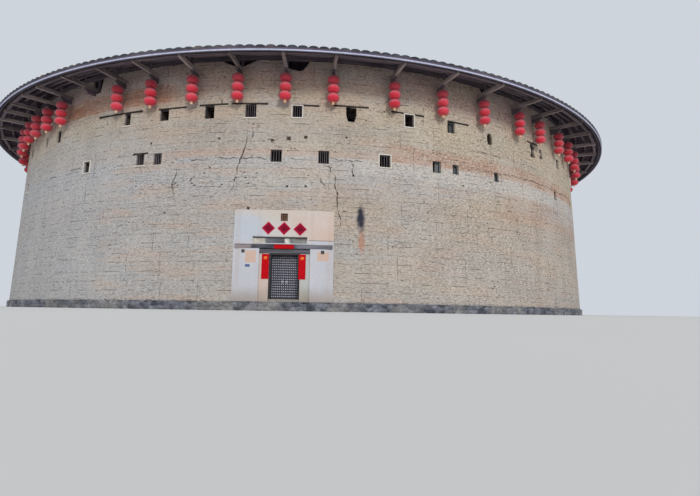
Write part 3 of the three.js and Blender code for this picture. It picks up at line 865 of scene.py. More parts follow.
windowFittings = {
    "setBack": 0.16,
    "frame": (0.08, 0.06, 0.008),       # depth, width and chamfer
    "overlap": 0.02,
    "barWidth": 0.035,
    "shutterSink": 0.3, "shutter": (0.03, 0.006),       # thickness and chamfer
    "surround": (0.1, 0.065, 0.012),    # depth, width and chamfer
    "surroundSink": 0.025, "surroundLonger": 0.02,
    "lintelHeight": 0.1, "lintelDepth": 0.5,
    "sillHeight": 0.07, "sillDepth": 0.3, "sillProud": 0.04, "sillDrop": 0.02, "sillLonger": 0.16,
    "tilt": 0.012,
}


def middleOf(window, sink, shift=0.0):
    # The middle of an opening, sunk behind the wall's face and shifted along it.
    height = window["centre"]
    return polar(window["bearing"] + arcDegrees(shift), wallRadius(height) - sink, height)


def fourBars(window, sink, reach, bar, longer, lean, seeds):
    # Two upright and two level bars, their middles a reach outside the opening's edges.
    middle = middleOf(window, sink)
    side, face = sideways(window["bearing"]), outward(window["bearing"])
    across, rise = side * (window["width"] / 2 + reach), lean * (window["height"] / 2 + reach)
    upright = barPart(window["height"] + longer[0], *bar)
    level = barPart(window["width"] + longer[1], *bar)
    along = lean / np.linalg.norm(lean)
    return [copies(upright, [middle - across, middle + across], seeds[0], along, face),
            copies(level, [middle - rise, middle + rise], seeds[1], side, face)]


def windowBars(chosen, seed):
    # A frame set back in each opening, with upright bars spread across it.
    parts = []
    fit = windowFittings
    for number, window in enumerate(chosen, seed):
        parts += fourBars(window, fit["setBack"], -fit["overlap"], fit["frame"], (0, 0), upward,
                          (number, number + 500))
        count = window.get("bars", 0)
        if count:
            spread = np.linspace(-1, 1, count + 2)[1:-1, None] * (window["width"] / 2 - fit["overlap"])
            centres = middleOf(window, fit["setBack"]) + spread * sideways(window["bearing"])
            parts.append(copies(boxPart(window["height"], fit["barWidth"], fit["barWidth"]), centres,
                                number + 900, upward, outward(window["bearing"])))
    return parts


def windowShutter(window, seed):
    # A leaf over the half of the opening towards growing bearings.
    fit = windowFittings
    panel = barPart(window["height"], window["width"] / 2, *fit["shutter"])
    centre = middleOf(window, fit["shutterSink"], window["width"] / 4)
    return copies(panel, centre, seed, upward, sideways(window["bearing"]))


def windowSurround(window, number):
    # A lime-washed band round the opening, a little proud of the leaning wall.
    fit, lean = windowFittings, upward - house["batter"] * outward(window["bearing"])
    band = fit["surround"][1]
    return fourBars(window, fit["surroundSink"], band / 2, fit["surround"],
                    (2 * band, fit["surroundLonger"]), lean, (60 + number, 160 + number))


def levelTimber(window, number, level, shift, size, proud, seed):
    # A level timber or sill let into the wall over or under the opening, tilted a little.
    turned = window["bearing"] + arcDegrees(shift)
    centre = polar(turned, wallRadius(level) - size[1] / 2 + proud, level)
    tilt = sideways(turned) + windowFittings["tilt"] * (number % 3 - 1) * upward
    return copies(barPart(*size), centre, seed + number, tilt, -outward(turned))


def windowLintel(window, number):
    start, stop = window["lintel"]
    rise = windowFittings["lintelHeight"]
    size = (stop - start + window["width"] / 2, windowFittings["lintelDepth"], rise)
    return levelTimber(window, number, window["high"] + rise / 2, (start + stop) / 2, size, 0.0, 40)


def windowSill(window, number):
    fit = windowFittings
    size = (window["width"] + fit["sillLonger"], fit["sillDepth"], fit["sillHeight"])
    return levelTimber(window, number, window["low"] - fit["sillDrop"], 0.0, size, fit["sillProud"], 20)


def buildWindows():
    brown = woodMaterial("windowWood", (100, 92, 98), (50, 44, 48), (118, 114, 118))
    pale = woodMaterial("paleShutter", (112, 114, 116), (66, 68, 72), (132, 132, 130), 0.5)
    lime = agedMaterial("limeWash", (222, 216, 206), (238, 234, 228), (170, 156, 142), 0.5, 0.3)
    black = woodMaterial("lintelWood", (48, 38, 36), (24, 19, 18), (66, 58, 54), 0.3)
    having = {key: [window for window in windows if window.get(key)]
              for key in ("pale", "surround", "sill", "lintel")}
    plain = [window for window in windows if "pale" not in window and "shape" not in window]
    shutters = [windowShutter(window, seed) for seed, window in enumerate(having["pale"], 7)]
    surrounds = [bar for number, window in enumerate(having["surround"])
                 for bar in windowSurround(window, number)]
    putPiece("window_frames", windowBars(plain, 200), brown)
    putPiece("window_shutters", windowBars(having["pale"], 300) + shutters, pale)
    putPiece("window_surrounds", surrounds, lime)
    sills = [windowSill(window, number) for number, window in enumerate(having["sill"])]
    putPiece("window_sills", sills, lime)
    lintels = [windowLintel(window, number) for number, window in enumerate(having["lintel"])]
    putPiece("window_lintels", lintels, black)
    print("windows: frames, surrounds, sills and lintels")


buildWindows()

# Cobble plinth

plinth = {
    "stoneWidth": 0.34, "stoneHeight": 0.21, "relief": 0.10, "jitter": 0.35, "columns": 2400, "rows": 9,
    "lip": 0.03, "topIn": 0.13, "gapGain": 2.2,
}


def cobbleField(arc, height, around):
    # Each stone grows from a jittered point in its cell: the relief is the gap between the nearest
    # and the second nearest point, and the tint is the nearest stone's own random value.
    cellX, cellY = arc / plinth["stoneWidth"], height / plinth["stoneHeight"]
    nearest, second, tint = np.full(arc.shape, 9.0), np.full(arc.shape, 9.0), np.zeros(arc.shape)
    for stepX, stepY in np.ndindex(3, 3):
        column, row = np.floor(cellX) + stepX - 1, np.floor(cellY) + stepY - 1
        jitterX, jitterY, shade = (hashedGrid(np.mod(column, around), row, seed) for seed in (3, 4, 5))
        away = np.hypot(cellX - column - 0.5 - 0.5 * np.mod(row, 2) - plinth["jitter"] * (jitterX * 2 - 1),
                        cellY - row - 0.5 - plinth["jitter"] * (jitterY * 2 - 1))
        tint = np.where(away < nearest, shade, tint)
        second = np.minimum(second, np.maximum(nearest, away))
        nearest = np.minimum(nearest, away)
    return np.sqrt(np.clip((second - nearest) * plinth["gapGain"], 0, 1)), tint


def buildPlinth():
    # The face is a grid round the plan; the top, the hidden back and the bottom close it.
    outer, foot, inner = house["plinthRadius"], house["wallFoot"], house["wallInner"]
    around = round(2 * np.pi * outer / plinth["stoneWidth"])
    bearing = evenBearings(plinth["columns"])
    arc = np.radians(bearing) * outer * around * plinth["stoneWidth"] / (2 * np.pi * outer)
    arc, height = np.meshgrid(arc, np.linspace(0, foot - plinth["lip"], plinth["rows"]))
    relief, tint = cobbleField(arc, height, around)
    face = polar(bearing, outer - plinth["relief"] * (1 - relief), height)
    rest = [polar(bearing, radius, level) for radius, level in
            ((outer - plinth["topIn"], foot), (inner, foot), (inner, 0.0))]
    material, tree = newMaterial("riverCobble", 0.8)
    stone = mixColour(attributeOf(tree, "tint", "Fac"), tone(60, 64, 76), tone(132, 134, 144))
    finished(material, *weathered(tree, stone, (172, 168, 160), (48, 46, 44), 0.4, 0.3, 0.5), 0.02)
    part = gridPart(np.concatenate([face, rest]), tint=np.concatenate([tint, tint[[-1, -1, -1]]]),
                    wrapRows=True, wrapColumns=True)
    putPiece("cobble_plinth", [part], material, replaces=["plinth"], sharpAngle=60)
    print("plinth: cobbles round the foot")


buildPlinth()

# Portal: lime plaster, name board, papers, vents and beams. Boxes give left, right, bottom and top.

portal = {
    "coat": (-2.88, 2.72, 0.5, 5.65), "thickness": 0.04, "coatDepth": 0.12, "step": 0.16, "space": 0.03,
    "settled": 0.006, "uneven": 0.004, "unevenSize": 0.6, "clear": 0.002,
    # left, right, bottom, top, front and back
    "lowerLintel": (-1.415, 1.415, 3.18, 3.40, -26.27, -24.81),
    "upperLintel": (-2.80, 2.66, 3.45, 3.70, -26.25, -25.90),
    "beamChamfer": 0.02,
    "board": (-1.785, 1.22, 3.745, 4.08), "boardDepth": 0.06, "boardChamfer": 0.01, "boardSink": 0.02,
    "drip": (0.13, 0.075, 0.008), "dripLonger": 0.03, "dripProud": 0.02, "dripDrop": 0.01,
    "jambSink": 0.05,       # how far the recess beside the door lies behind the wall's face
    "jambDepth": 0.1,
    # bars and boards as length, depth and height, then the chamfer
    "vent": (-0.085, 5.23), "lattice": (0.42, 0.03, 0.03), "latticeSink": 0.08,
    "latticeShifts": (-0.132, 0, 0.132), "ventBack": (0.42, 0.03, 0.42, 0.004), "ventBackSink": 0.12,
    "sideVents": [(-2.32, 3.29), (2.105, 3.28)], "sideVentHalf": 0.095, "sideVentSink": 0.01,
    "sideVentBack": (0.1862, 0.03, 0.1862, 0.004),
    "bedded": 0.004,        # how deep a sheet's back lies in the coat
    "coupletGap": 0.004, "sealGap": 0.016, "beamPaperSink": 0.024,
    "diamonds": [(-0.95, 4.60), (-0.07, 4.59), (0.825, 4.56)], "diamondHalf": 0.375,
    "couplets": [(-1.26, -0.86, 1.75, 3.14), (0.79, 1.18, 1.75, 3.14)],
    "beamPaper": (-0.60, 0.50, 3.45, 3.68),
    "sealHalf": 0.09, "sealLow": 2.84, "sealHigh": 3.0,
    "plate": (-2.17, -1.91, 2.41, 2.55),
    "flat": {"steps": 4, "curl": 0.0}, "plateThickness": 0.012,
    "peeled": [(-2.165, -1.60, 2.67, 3.31), (1.825, 2.42, 2.81, 3.27)],
}


def plasterMaterial():
    material, tree = newMaterial("limePlaster", 0.85)
    local = attributeOf(tree, "local", "Vector")
    across, up = axesOf(local)[:2]
    # Bluish white at the upper left and low down, beige in the middle, peach at the upper right
    ragged = noise(local, 1.2, 5) * 1.2 - 0.6
    upper = colourRamp(up * 0.5 + across + ragged, [
        (0.0, (190, 197, 208)), (0.9, (192, 197, 206)), (1.4, (200, 195, 190)),
        (2.2, (202, 193, 185)), (3.2, (206, 186, 174)), (5.0, (207, 183, 169))])
    upper = tinted(upper, remap(up, 5.2, 5.45) * 0.6, (204, 194, 184))
    base = mixColour(remap(ragged * 0.05 + up, 3.9, 3.95), tone(192, 194, 202), upper)
    # The jambs beside the door: beige on the left, and grey-green on the right, darker as painted shade on
    # the jamb turned from the light
    jamb = mixColour(remap(across, -0.1, 0.1), tone(204, 186, 176), tone(172, 177, 172))
    base = mixColour(bandMask(across, -1.41, 1.41, 0.01) * remap(up, 3.2, 3.16), base, jamb)
    colour, rough = weathered(tree, base, (214, 214, 216), (184, 164, 152), 0.3, 0.3, 0.25)
    edge = ragged * 0.06
    for left, right, low, high in portal["peeled"]:
        patch = bandMask(across + edge, left, right, 0.05) * bandMask(up + edge, low, high, 0.05)
        colour = tinted(colour, patch * 0.8, (208, 172, 148))
    joint = bandMask(across, 1.33, 2.68, 0.03) * bandMask(up, 3.915, 3.945, 0.01)
    colour = tinted(colour, joint * 0.8, (104, 92, 86))
    grime = remap(ragged * 0.5 + up, 0.4, 1.6, 0.7, 0.0)
    return finished(material, tinted(colour, grime, (150, 134, 118)), rough, 0.006, 0.4)


def boardMaterial():
    # A faded, flaked board in plain patches along its length.
    material, tree = newMaterial("fadedBoard", 0.8)
    place = realPosition(tree)
    across, up = axesOf(place)[::2]
    patches = colourRamp(noise(place, 5.0) * 0.4 - 0.2 + across, [
        (-1.8, (206, 198, 184)), (-1.15, (190, 184, 176)), (-1.05, (96, 100, 112)), (-0.5, (58, 64, 86)),
        (0.0, (50, 54, 70)), (0.05, (226, 222, 214)), (0.24, (226, 222, 214)), (0.3, (96, 104, 104)),
        (1.25, (134, 144, 138))])
    red = remap(across, 0.55, 0.65) * remap(up, 3.91, 3.95)
    patches = tinted(patches, red * 0.8, (92, 52, 60))
    return finished(material, *weathered(tree, patches, (200, 196, 188), (60, 58, 60), 0.15, 0.3, 0.4),
                    0.004)


def beamMaterial():
    # The long beam: whitewashed at its left end, dark over the door, grey to the right.
    material, tree = newMaterial("portalTimber", 0.8)
    light = colourRamp(axesOf(realPosition(tree))[0], [
        (-2.8, (172, 158, 160)), (-1.95, (162, 150, 152)), (-1.8, (60, 60, 74)),
        (0.5, (70, 70, 84)), (0.8, (116, 116, 130)), (2.7, (120, 118, 128))])
    dark = mixColour(1.0, light, (0.35, 0.35, 0.35, 1), "MULTIPLY")
    return finished(material, *fibrous(tree, light, dark, (150, 148, 152), 0.25))


def paperMaterial(name, base, dark, rings=False):
    material, tree = newMaterial(name, 0.8, 0.1)
    local = attributeOf(tree, "local", "Vector")
    creases = noise(local, 7.0)
    colour = mixColour(remap(creases, 0.4, 0.7), tone(*base), tone(*dark))
    if rings:
        # A plain knot of nested squares in the middle of each paper, and a bright rim
        across, up = axesOf(local)[:2]
        reach = across.math("ABSOLUTE") + up.math("ABSOLUTE")
        knot = remap((reach * 58.0).math("SINE"), -0.2, 0.2) * remap(reach, 0.22, 0.25, 1.0, 0.0)
        colour = tinted(colour, knot * 0.9, (34, 8, 26))
        colour = tinted(colour, remap(reach, 0.32, 0.345) * 0.8, (196, 52, 84))
    return finished(material, colour, creases, 0.004)


def openSheet(box, holes, proud, depth):
    # A coat on the face, less its holes: rows and columns of points a little uneven, and the same
    # points a depth behind them.
    x, z, keep = cutGrid(*box, (portal["step"],) * 2, (portal["space"],) * 2, holes)
    where = np.stack([x, z, 0 * x], axis=-1)
    uneven = portal["uneven"] * smoothNoise(where, portal["unevenSize"], 41)
    front, back = onFace(x, z, proud - portal["settled"] + uneven), onFace(x, z, proud - depth)
    return slabPart(front, back, keep, where, where - [0, 0, 0.1])


def sheetPart(corners, proud, seed=5, thickness=0.006, steps=9, curl=0.02):
    # A thin paper on the face: a grid between four corners given as x and height, lifted a little
    # at its edges, with its back close to the wall. Its local coordinates start at its middle.
    a, b, c, d = corners = np.asarray(corners, float)
    u, v = np.meshgrid(*[np.linspace(0, 1, steps)] * 2)
    edge = np.maximum(np.abs(u - 0.5), np.abs(v - 0.5)) * 2
    u, v = u[..., None], v[..., None]
    flat = (1 - v) * ((1 - u) * a + u * b) + v * (u * c + (1 - u) * d)
    where = np.concatenate([flat - corners.mean(axis=0), 0 * u], axis=-1)
    lift = proud + curl * edge ** 4 * (0.5 + 0.5 * smoothNoise(where, 0.3, seed))
    front, back = (onFace(flat[..., 0], flat[..., 1], lift + more) for more in (thickness, 0))
    return slabPart(front, back, np.ones((steps - 1, steps - 1), bool), where, where)


def boxSheet(box, proud, **others):
    left, right, low, high = box
    return sheetPart([(left, low), (right, low), (right, high), (left, high)], proud, **others)


def buildPortal():
    fit, half, foot, head = portal, doorway["half"], house["wallFoot"], house["doorHead"]
    holes = [(-half, half, 0, head), (-half, half, head, fit["upperLintel"][2]), fit["upperLintel"][:4],
             fit["board"], doorway["vent"]]
    size = fit["sideVentHalf"]
    holes += [(x - size, x + size, z - size, z + size) for x, z in fit["sideVents"]]
    clear = fit["clear"]
    inner, outer = house["passageHalf"] + clear, half - clear
    jambs = [openSheet((left, right, foot + clear, head - clear), [], -fit["jambSink"], fit["jambDepth"])
             for left, right in ((-outer, -inner), (inner, outer))]
    coat = openSheet(fit["coat"], holes, fit["thickness"], fit["coatDepth"])
    putPiece("door_plaster", [coat] + jambs, plasterMaterial(), replaces=["portal_plaster"])

    brown = woodMaterial("lintelTimber", (96, 96, 104), (46, 46, 52), (112, 112, 120))
    for name, key, material, node in (("carrying_lintel", "lowerLintel", brown, "door_lintel"),
                                      ("long_portal_beam", "upperLintel", beamMaterial(), "portal_beam")):
        low, high = np.array(fit[key]).reshape(3, 2)[[0, 2, 1]].T
        bar = copies(barPart(*(high - low), fit["beamChamfer"]), (low + high) / 2, 3)
        putPiece(name, [bar], material, replaces=[node])

    left, right, low, high = fit["board"]
    across, up = (left + right) / 2, (low + high) / 2
    face = fit["boardSink"] - wallRadius(up)
    board = barPart(right - left, fit["boardDepth"], high - low, fit["boardChamfer"])
    putPiece("bare_name_board", [copies(board, [across, face, up], 8)], boardMaterial(),
             replaces=["name_board"])
    drip = woodMaterial("dripBoard", (66, 66, 64), (34, 36, 36), (88, 88, 86), 0.3)
    trim = copies(barPart(right - left + fit["dripLonger"], *fit["drip"]),
                  [across, face - fit["dripProud"], high - fit["dripDrop"]], 9)
    putPiece("board_drip", [trim], drip)

    half, flush, sink = fit["diamondHalf"], fit["thickness"] - fit["bedded"], fit["jambSink"]
    diamonds = [sheetPart([(x, z - half), (x + half, z), (x, z + half), (x - half, z)], flush, seed)
                for seed, (x, z) in enumerate(fit["diamonds"], 50)]
    strips = [boxSheet(box, fit["coupletGap"] - sink, seed=seed)
              for seed, box in enumerate(fit["couplets"], 60)]
    strips.append(boxSheet(fit["beamPaper"], -fit["beamPaperSink"], seed=70))
    half, middles = fit["sealHalf"], [(box[0] + box[1]) / 2 for box in fit["couplets"]]
    seals = [boxSheet((middle - half, middle + half, fit["sealLow"], fit["sealHigh"]),
                      fit["sealGap"] - sink, **fit["flat"]) for middle in middles]
    for name, sheets, material in (
            ("diamond_papers", diamonds, paperMaterial("diamondPaper", (170, 20, 56), (126, 12, 42), True)),
            ("red_papers", strips, paperMaterial("coupletPaper", (194, 8, 22), (166, 8, 20))),
            ("gold_seals", seals, paperMaterial("goldSeal", (240, 130, 60), (214, 84, 30)))):
        putPiece(name, sheets, material)

    # Lattice in the vent over the door, and dark boards deep in the two side vents
    (x, z), bar = fit["vent"], boxPart(*fit["lattice"])
    y = onFace(x, z, -fit["latticeSink"])[1]
    wood = woodMaterial("ventWood", (150, 108, 88), (92, 62, 52), (140, 124, 112), 0.3)
    uprights = [[x + shift, y, z] for shift in fit["latticeShifts"]]
    levels = [[x, y + fit["lattice"][1], z + shift] for shift in fit["latticeShifts"]]
    lattice = [copies(bar, uprights, 11, upward, (0, -1, 0)), copies(bar, levels, 12),
               copies(barPart(*fit["ventBack"]), [x, y + fit["ventBackSink"], z], 13)]
    putPiece("vent_lattice", lattice, wood)
    places = [onFace(x, z, -fit["sideVentSink"]) for x, z in fit["sideVents"]]
    putPiece("side_vent_boards", [copies(barPart(*fit["sideVentBack"]), places, 14)], drip)
    blue = agedMaterial("bluePlate", (66, 88, 140), (84, 106, 156), (44, 62, 104), 0.4, 0.2, 0.2, 0.5)
    plate = boxSheet(fit["plate"], flush, thickness=fit["plateThickness"], **fit["flat"])
    putPiece("bare_plate", [plate], blue)
    print("portal: plaster, beams, board, papers and vents")


buildPortal()

# Door: stone threshold, timber frame and two studded leaves

door = {
    "thresholdTop": 0.64, "threshold": (-26.25, -25.60),     # its front and back
    "clear": 0.002, "frameChamfer": 0.01, "plankChamfer": 0.009,
    "frameFront": -26.23, "frameBack": -25.88, "frameInner": 0.75, "frameHead": 3.10,
    "leafY": -25.795, "leafThickness": 0.07, "leafLow": 0.66, "leafHigh": 3.13,
    "leafInner": 0.008, "leafOuter": 0.80, "planks": 4,
    "batten": (0.74, 0.016, 0.12, 0.004), "battens": (0.95, 1.895, 2.85), "battenMiddle": 0.398,
    "battenProud": 0.006,
    "pinX": 0.77, "pinRadius": 0.033, "pinLow": 0.603, "pinHigh": 3.208,
    "studAcross": (0.06, 0.69, 7), "studUp": (0.80, 3.01, 17),      # first, last and how many
    "studRadius": 0.034, "studHeight": 0.014,
    "ringX": 0.115, "ringHeight": 1.58, "ringRadius": 0.055, "ringProud": 0.017, "wire": 0.008,
    "plateRadius": 0.05, "plateDepth": 0.012, "plateHeight": 1.64,
}


def studPart(radius, height, sides=8):
    # A dome on -y: rings of a quarter circle turned about the axis.
    share = np.linspace(0, np.pi / 2, 4)
    dome = lathePart(np.column_stack([radius * np.cos(share) + 0.001, height * np.sin(share)]), sides)
    x, y, z = dome["points"].T
    return {**dome, "points": np.stack([x, -z, y], axis=-1)}


def pullRing(centre, radius, wire):
    # A torus on the leaf: a small circle carried round a larger one.
    turn, tube = np.arange(24)[:, None] * np.pi / 12, np.arange(8) * np.pi / 4
    reach = radius + wire * np.cos(tube)
    x, y, z = np.broadcast_arrays(reach * np.cos(turn), wire * np.sin(tube), reach * np.sin(turn))
    return gridPart(np.stack([x, y, z], axis=-1) + centre, wrapRows=True, wrapColumns=True)


def buildDoor():
    fit = door
    stone = agedMaterial("thresholdStone", (150, 146, 138), (176, 172, 162), (96, 92, 86), 0.5, 0.1, 0.5)
    clear = fit["clear"]
    wide, low = house["passageHalf"] - clear, house["wallFoot"] + clear / 2
    block = blockPart(-wide, wide, *fit["threshold"], low, fit["thresholdTop"])
    putPiece("threshold_stone", [block], stone, replaces=["door_threshold"])

    # The frame's near-black is partly its own dark timber and partly painted shade in the doorway under the
    # lintel.
    timber = woodMaterial("doorFrameTimber", (52, 48, 52), (26, 24, 28), (70, 68, 72), 0.3)
    foot, top, inner = fit["thresholdTop"], fit["frameHead"], fit["frameInner"]
    depth, middleY = fit["frameBack"] - fit["frameFront"], (fit["frameFront"] + fit["frameBack"]) / 2
    posts = [[side * (wide + inner) / 2, middleY, (top + foot + clear) / 2] for side in (-1, 1)]
    post = barPart(top - foot, depth, wide - inner, fit["frameChamfer"])
    head = barPart(2 * wide, depth, house["doorHead"] - top - clear, fit["frameChamfer"])
    parts = [copies(post, posts, 21, upward, (0, -1, 0)),
             copies(head, [0, middleY, (top + house["doorHead"]) / 2], 22)]
    putPiece("door_frame_timbers", parts, timber, replaces=["door_frame"])

    wood = woodMaterial("doorLeafTimber", (48, 46, 60), (24, 24, 33), (66, 66, 78), 0.3, 0.6)
    iron, tree = newMaterial("studIron", 0.4)
    finished(iron, *weathered(tree, tone(172, 174, 192), (216, 218, 228), (120, 112, 112), 0.5, 0.2, 0.5),
             0.003, Metallic=0.3)
    low, high, y, thick = fit["leafLow"], fit["leafHigh"], fit["leafY"], fit["leafThickness"]
    width = (fit["leafOuter"] - fit["leafInner"]) / fit["planks"]
    planks = fit["leafInner"] + width * (np.arange(fit["planks"]) + 0.5)
    plank = barPart(high - low, thick, width - clear, fit["plankChamfer"])
    pinProfile = [(fit["pinRadius"], fit["pinLow"]), (fit["pinRadius"], fit["pinHigh"])]
    face = y - thick / 2
    for side, name in ((-1, "left"), (1, "right")):
        pin = lathePart(pinProfile, 16)
        pin["points"] = pin["points"] + [side * fit["pinX"], y, 0]
        behind = y + thick / 2 + fit["battenProud"]
        backs = [[side * fit["battenMiddle"], behind, z] for z in fit["battens"]]
        middles = [[side * x, y, (low + high) / 2] for x in planks]
        parts = [copies(plank, middles, 31 + side, upward, (0, -1, 0)),
                 copies(barPart(*fit["batten"]), backs, 41 + side), pin]
        putPiece("plank_leaf_" + name, parts, wood, body=name + "_leaf",
                 replaces=["door_leaf_" + name])

        x, z = np.meshgrid(side * np.linspace(*fit["studAcross"]), np.linspace(*fit["studUp"]))
        centres = np.column_stack([x.ravel(), np.full(x.size, face), z.ravel()])
        stud = studPart(fit["studRadius"], fit["studHeight"])
        plate = studPart(fit["plateRadius"], fit["plateDepth"], 16)
        x, middle = side * fit["ringX"], face - fit["ringProud"]
        parts = [copies(stud, centres, 51 + side),
                 pullRing([x, middle, fit["ringHeight"]], fit["ringRadius"], fit["wire"]),
                 copies(plate, [x, face, fit["plateHeight"]], 71 + side)]
        putPiece("leaf_ironwork_" + name, parts, iron, body=name + "_leaf")
    print("door: threshold, frame and two leaves")


buildDoor()

# Timbers under the roof

roofTimbers = {
    "beamLow": 13.95, "beamHigh": 14.2, "beamWidth": 0.18, "beamEnd": 28.15, "beamStart": 19.63,
    "shortBeamStart": 24.4,
    "longer": 1.015,        # how much longer than its bay each timber between two frames is
    "purlinDepth": 0.19, "purlinDrop": 0.06, "leastStub": 0.03, "uprightChamfer": 0.012,
    # radius and width, from the eave inwards
    "purlins": [(28.0, 0.2), (27.3, 0.15), (26.6, 0.15), (25.6, 0.15), (24.2, 0.15), (21.6, 0.15)],
    "ridgePurlin": (0.2, 0.19), "ridgeDrop": 0.14,
    "stub": 0.13, "king": 0.16,
    "rafters": 400, "rafterWidth": 0.07, "rafterDepth": 0.045, "rafterDrop": 0.035,
    "rafterHead": 0.1, "rafterTail": 0.05,      # how far they stop short of the ridge and the eaves
    "wallPlate": (25.77, 14.93, 0.2, 0.32),     # radius, height, width and depth
    "corbels": [(25.7, 26.62, 13.79, 13.945, 0.16), (25.7, 26.45, 13.63, 13.785, 0.14)],
}


def quarters(name):
    return [name + side for side in ("front", "right", "back", "left")]


def barsBetween(bar, start, end, seed, longer=1.0):
    # A bar of unit length from each start to its end, with its width level.
    length = np.linalg.norm(end - start, axis=1, keepdims=True)
    along = (end - start) / length
    across = np.cross(upward, along)
    across = across / np.linalg.norm(across, axis=1, keepdims=True)
    return copies(bar, (start + end) / 2, seed, along, across, longer * length[:, 0])


def segmentBars(radius, level, width, depth, seed):
    # Straight timbers from frame to frame at a radius, each a little longer than its bay.
    start = polar(np.sort(np.mod(frameBearings, 360)), radius, level)
    return barsBetween(barPart(1.0, width, depth), start, np.roll(start, -1, axis=0), seed,
                       roofTimbers["longer"])


def radialBars(bearings, inner, outer, low, high, width, seed):
    # Level radial timbers between two radii.
    ends = [polar(bearings, radius, (low + high) / 2) for radius in (inner, outer)]
    return barsBetween(barPart(1.0, width, high - low), *ends, seed)


def uprightBars(bearings, radius, low, high, size, seed):
    # Square uprights between two heights.
    bar = barPart(1.0, size, size, roofTimbers["uprightChamfer"])
    return copies(bar, polar(bearings, radius, (low + high) / 2), seed, upward, sideways(bearings),
                  high - low)


def rafterBars(bearings, inner, outer, underside, seed):
    # Thin radial timbers that follow the slope just under the boards.
    bar = boxPart(1.0, roofTimbers["rafterWidth"], roofTimbers["rafterDepth"])
    ends = [polar(bearings, radius, underside(radius) - roofTimbers["rafterDrop"])
            for radius in (inner, outer)]
    return barsBetween(bar, *ends, seed)


def buildRoofTimbers():
    fit, ridge = roofTimbers, house["ridgeRadius"]
    # One timber in lit and shaded copies: the beams lighter as painted light, the purlins, corbels and wall
    # plate darker and the rafters darker still, with a purple cast, as painted shade under the eaves.
    brown = woodMaterial("roofTimber", (168, 152, 150), (86, 75, 76), (174, 162, 164), 0.45)
    shaded = woodMaterial("purlinTimber", (112, 99, 108), (62, 54, 60), (122, 110, 118), 0.35)
    thin = woodMaterial("rafterTimber", (90, 80, 92), (56, 49, 60), (102, 93, 104), 0.3)
    low, high = fit["beamLow"], fit["beamHigh"]
    long = frameBearings[frameBearings != entranceFrame]
    beams = [radialBars(bearings, start, fit["beamEnd"], low, high, fit["beamWidth"], seed)
             for bearings, start, seed in ((long, fit["beamStart"], 101),
                                           ([entranceFrame], fit["shortBeamStart"], 102))]
    putPiece("roof_timbers", beams, brown, replaces=quarters("roof_beams_"))

    purlins = [radialBars(frameBearings, *corbel, 103) for corbel in fit["corbels"]]
    purlins.append(segmentBars(*fit["wallPlate"], 104))
    for number, (radius, size) in enumerate(fit["purlins"]):
        underside = outerUnderside(radius) if radius > ridge else innerUnderside(radius)
        level = underside - fit["purlinDrop"] - fit["purlinDepth"] / 2
        purlins.append(segmentBars(radius, level, size, size, 110 + number))
        if level - size / 2 > high + fit["leastStub"]:
            purlins.append(uprightBars(frameBearings, radius, high, level, fit["stub"], 120 + number))
    level = outerUnderside(ridge) - fit["ridgeDrop"]
    purlins += [segmentBars(ridge, level, *fit["ridgePurlin"], 130),
                uprightBars(frameBearings[1::4], ridge, high, level, fit["king"], 131)]
    putPiece("roof_purlins", purlins, shaded)

    bearings = evenBearings(fit["rafters"]) + 180 / fit["rafters"]
    head, tail = fit["rafterHead"], fit["rafterTail"]
    rafters = [rafterBars(bearings, ridge + head, house["eaveRadius"] - tail, outerUnderside, 140),
               rafterBars(bearings[::2], house["innerEave"] + tail, ridge - head, innerUnderside, 141)]
    putPiece("rafters", rafters, thin)
    print("roof timbers: beams, purlins and rafters")


buildRoofTimbers()

# Roof: boards, fascia, tiles and ridge

roof = {
    "overhang": 0.18,
    "boardThickness": 0.03, "boardInset": 0.05,
    # inner and outer radius, bottom and top, from the tile mouths or the inner eave
    "mouthBoard": (-0.06, -0.006, -0.131, -0.03),
    "lath": (-0.06, -0.004, -0.2, -0.132),
    "innerFascia": (0.03, 0.09, -0.14, 0.0), "innerFasciaMiddle": 0.05,
    # radius and height, from the underside of the deck at the outer eave
    "fascia": [(-0.065, -0.14), (-0.015, -0.14), (-0.005, -0.13), (-0.005, -0.0089), (-0.015, 0.0011),
               (-0.065, 0.0011)],
    "edgeColumns": 720,
    "tileBase": 0.06,       # height of the tile channels over the deck's underside
    "bedding": 0.045,       # the same for the flat sheet that closes the tiles below
    "coverRise": 0.1, "coverHalf": 0.45,
    "channelDrop": 0.03,
    "phases": (0.0, 0.09, 0.29, 0.5, 0.71, 0.91),
    "courseStep": 0.035,
    "jitter": 0.012, "skew": 0.03,
    "outer": {"ribs": 312, "courses": 22,
              "sectors": {"front": (-43, 44), "right": (44, 138), "back": (138, 228), "left": (228, 317)}},
    "inner": {"ribs": 264, "courses": 15, "sectors": {"front": (-90, 90), "back": (90, 270)}},
    "ridgeRise": 0.144, "ridgeColumns": 960, "ridgeWave": 0.02,
    # the right half of the ridge's section: a mortar bed, three flat courses and a round cap
    "ridgeSection": [(0.0, -0.08), (0.32, -0.20), (0.32, 0.03), (0.20, 0.05), (0.20, 0.085), (0.165, 0.09),
                     (0.165, 0.125), (0.13, 0.13), (0.10, 0.175), (0.055, 0.21), (0.0, 0.225)],
    "capFoot": 0.13,
}


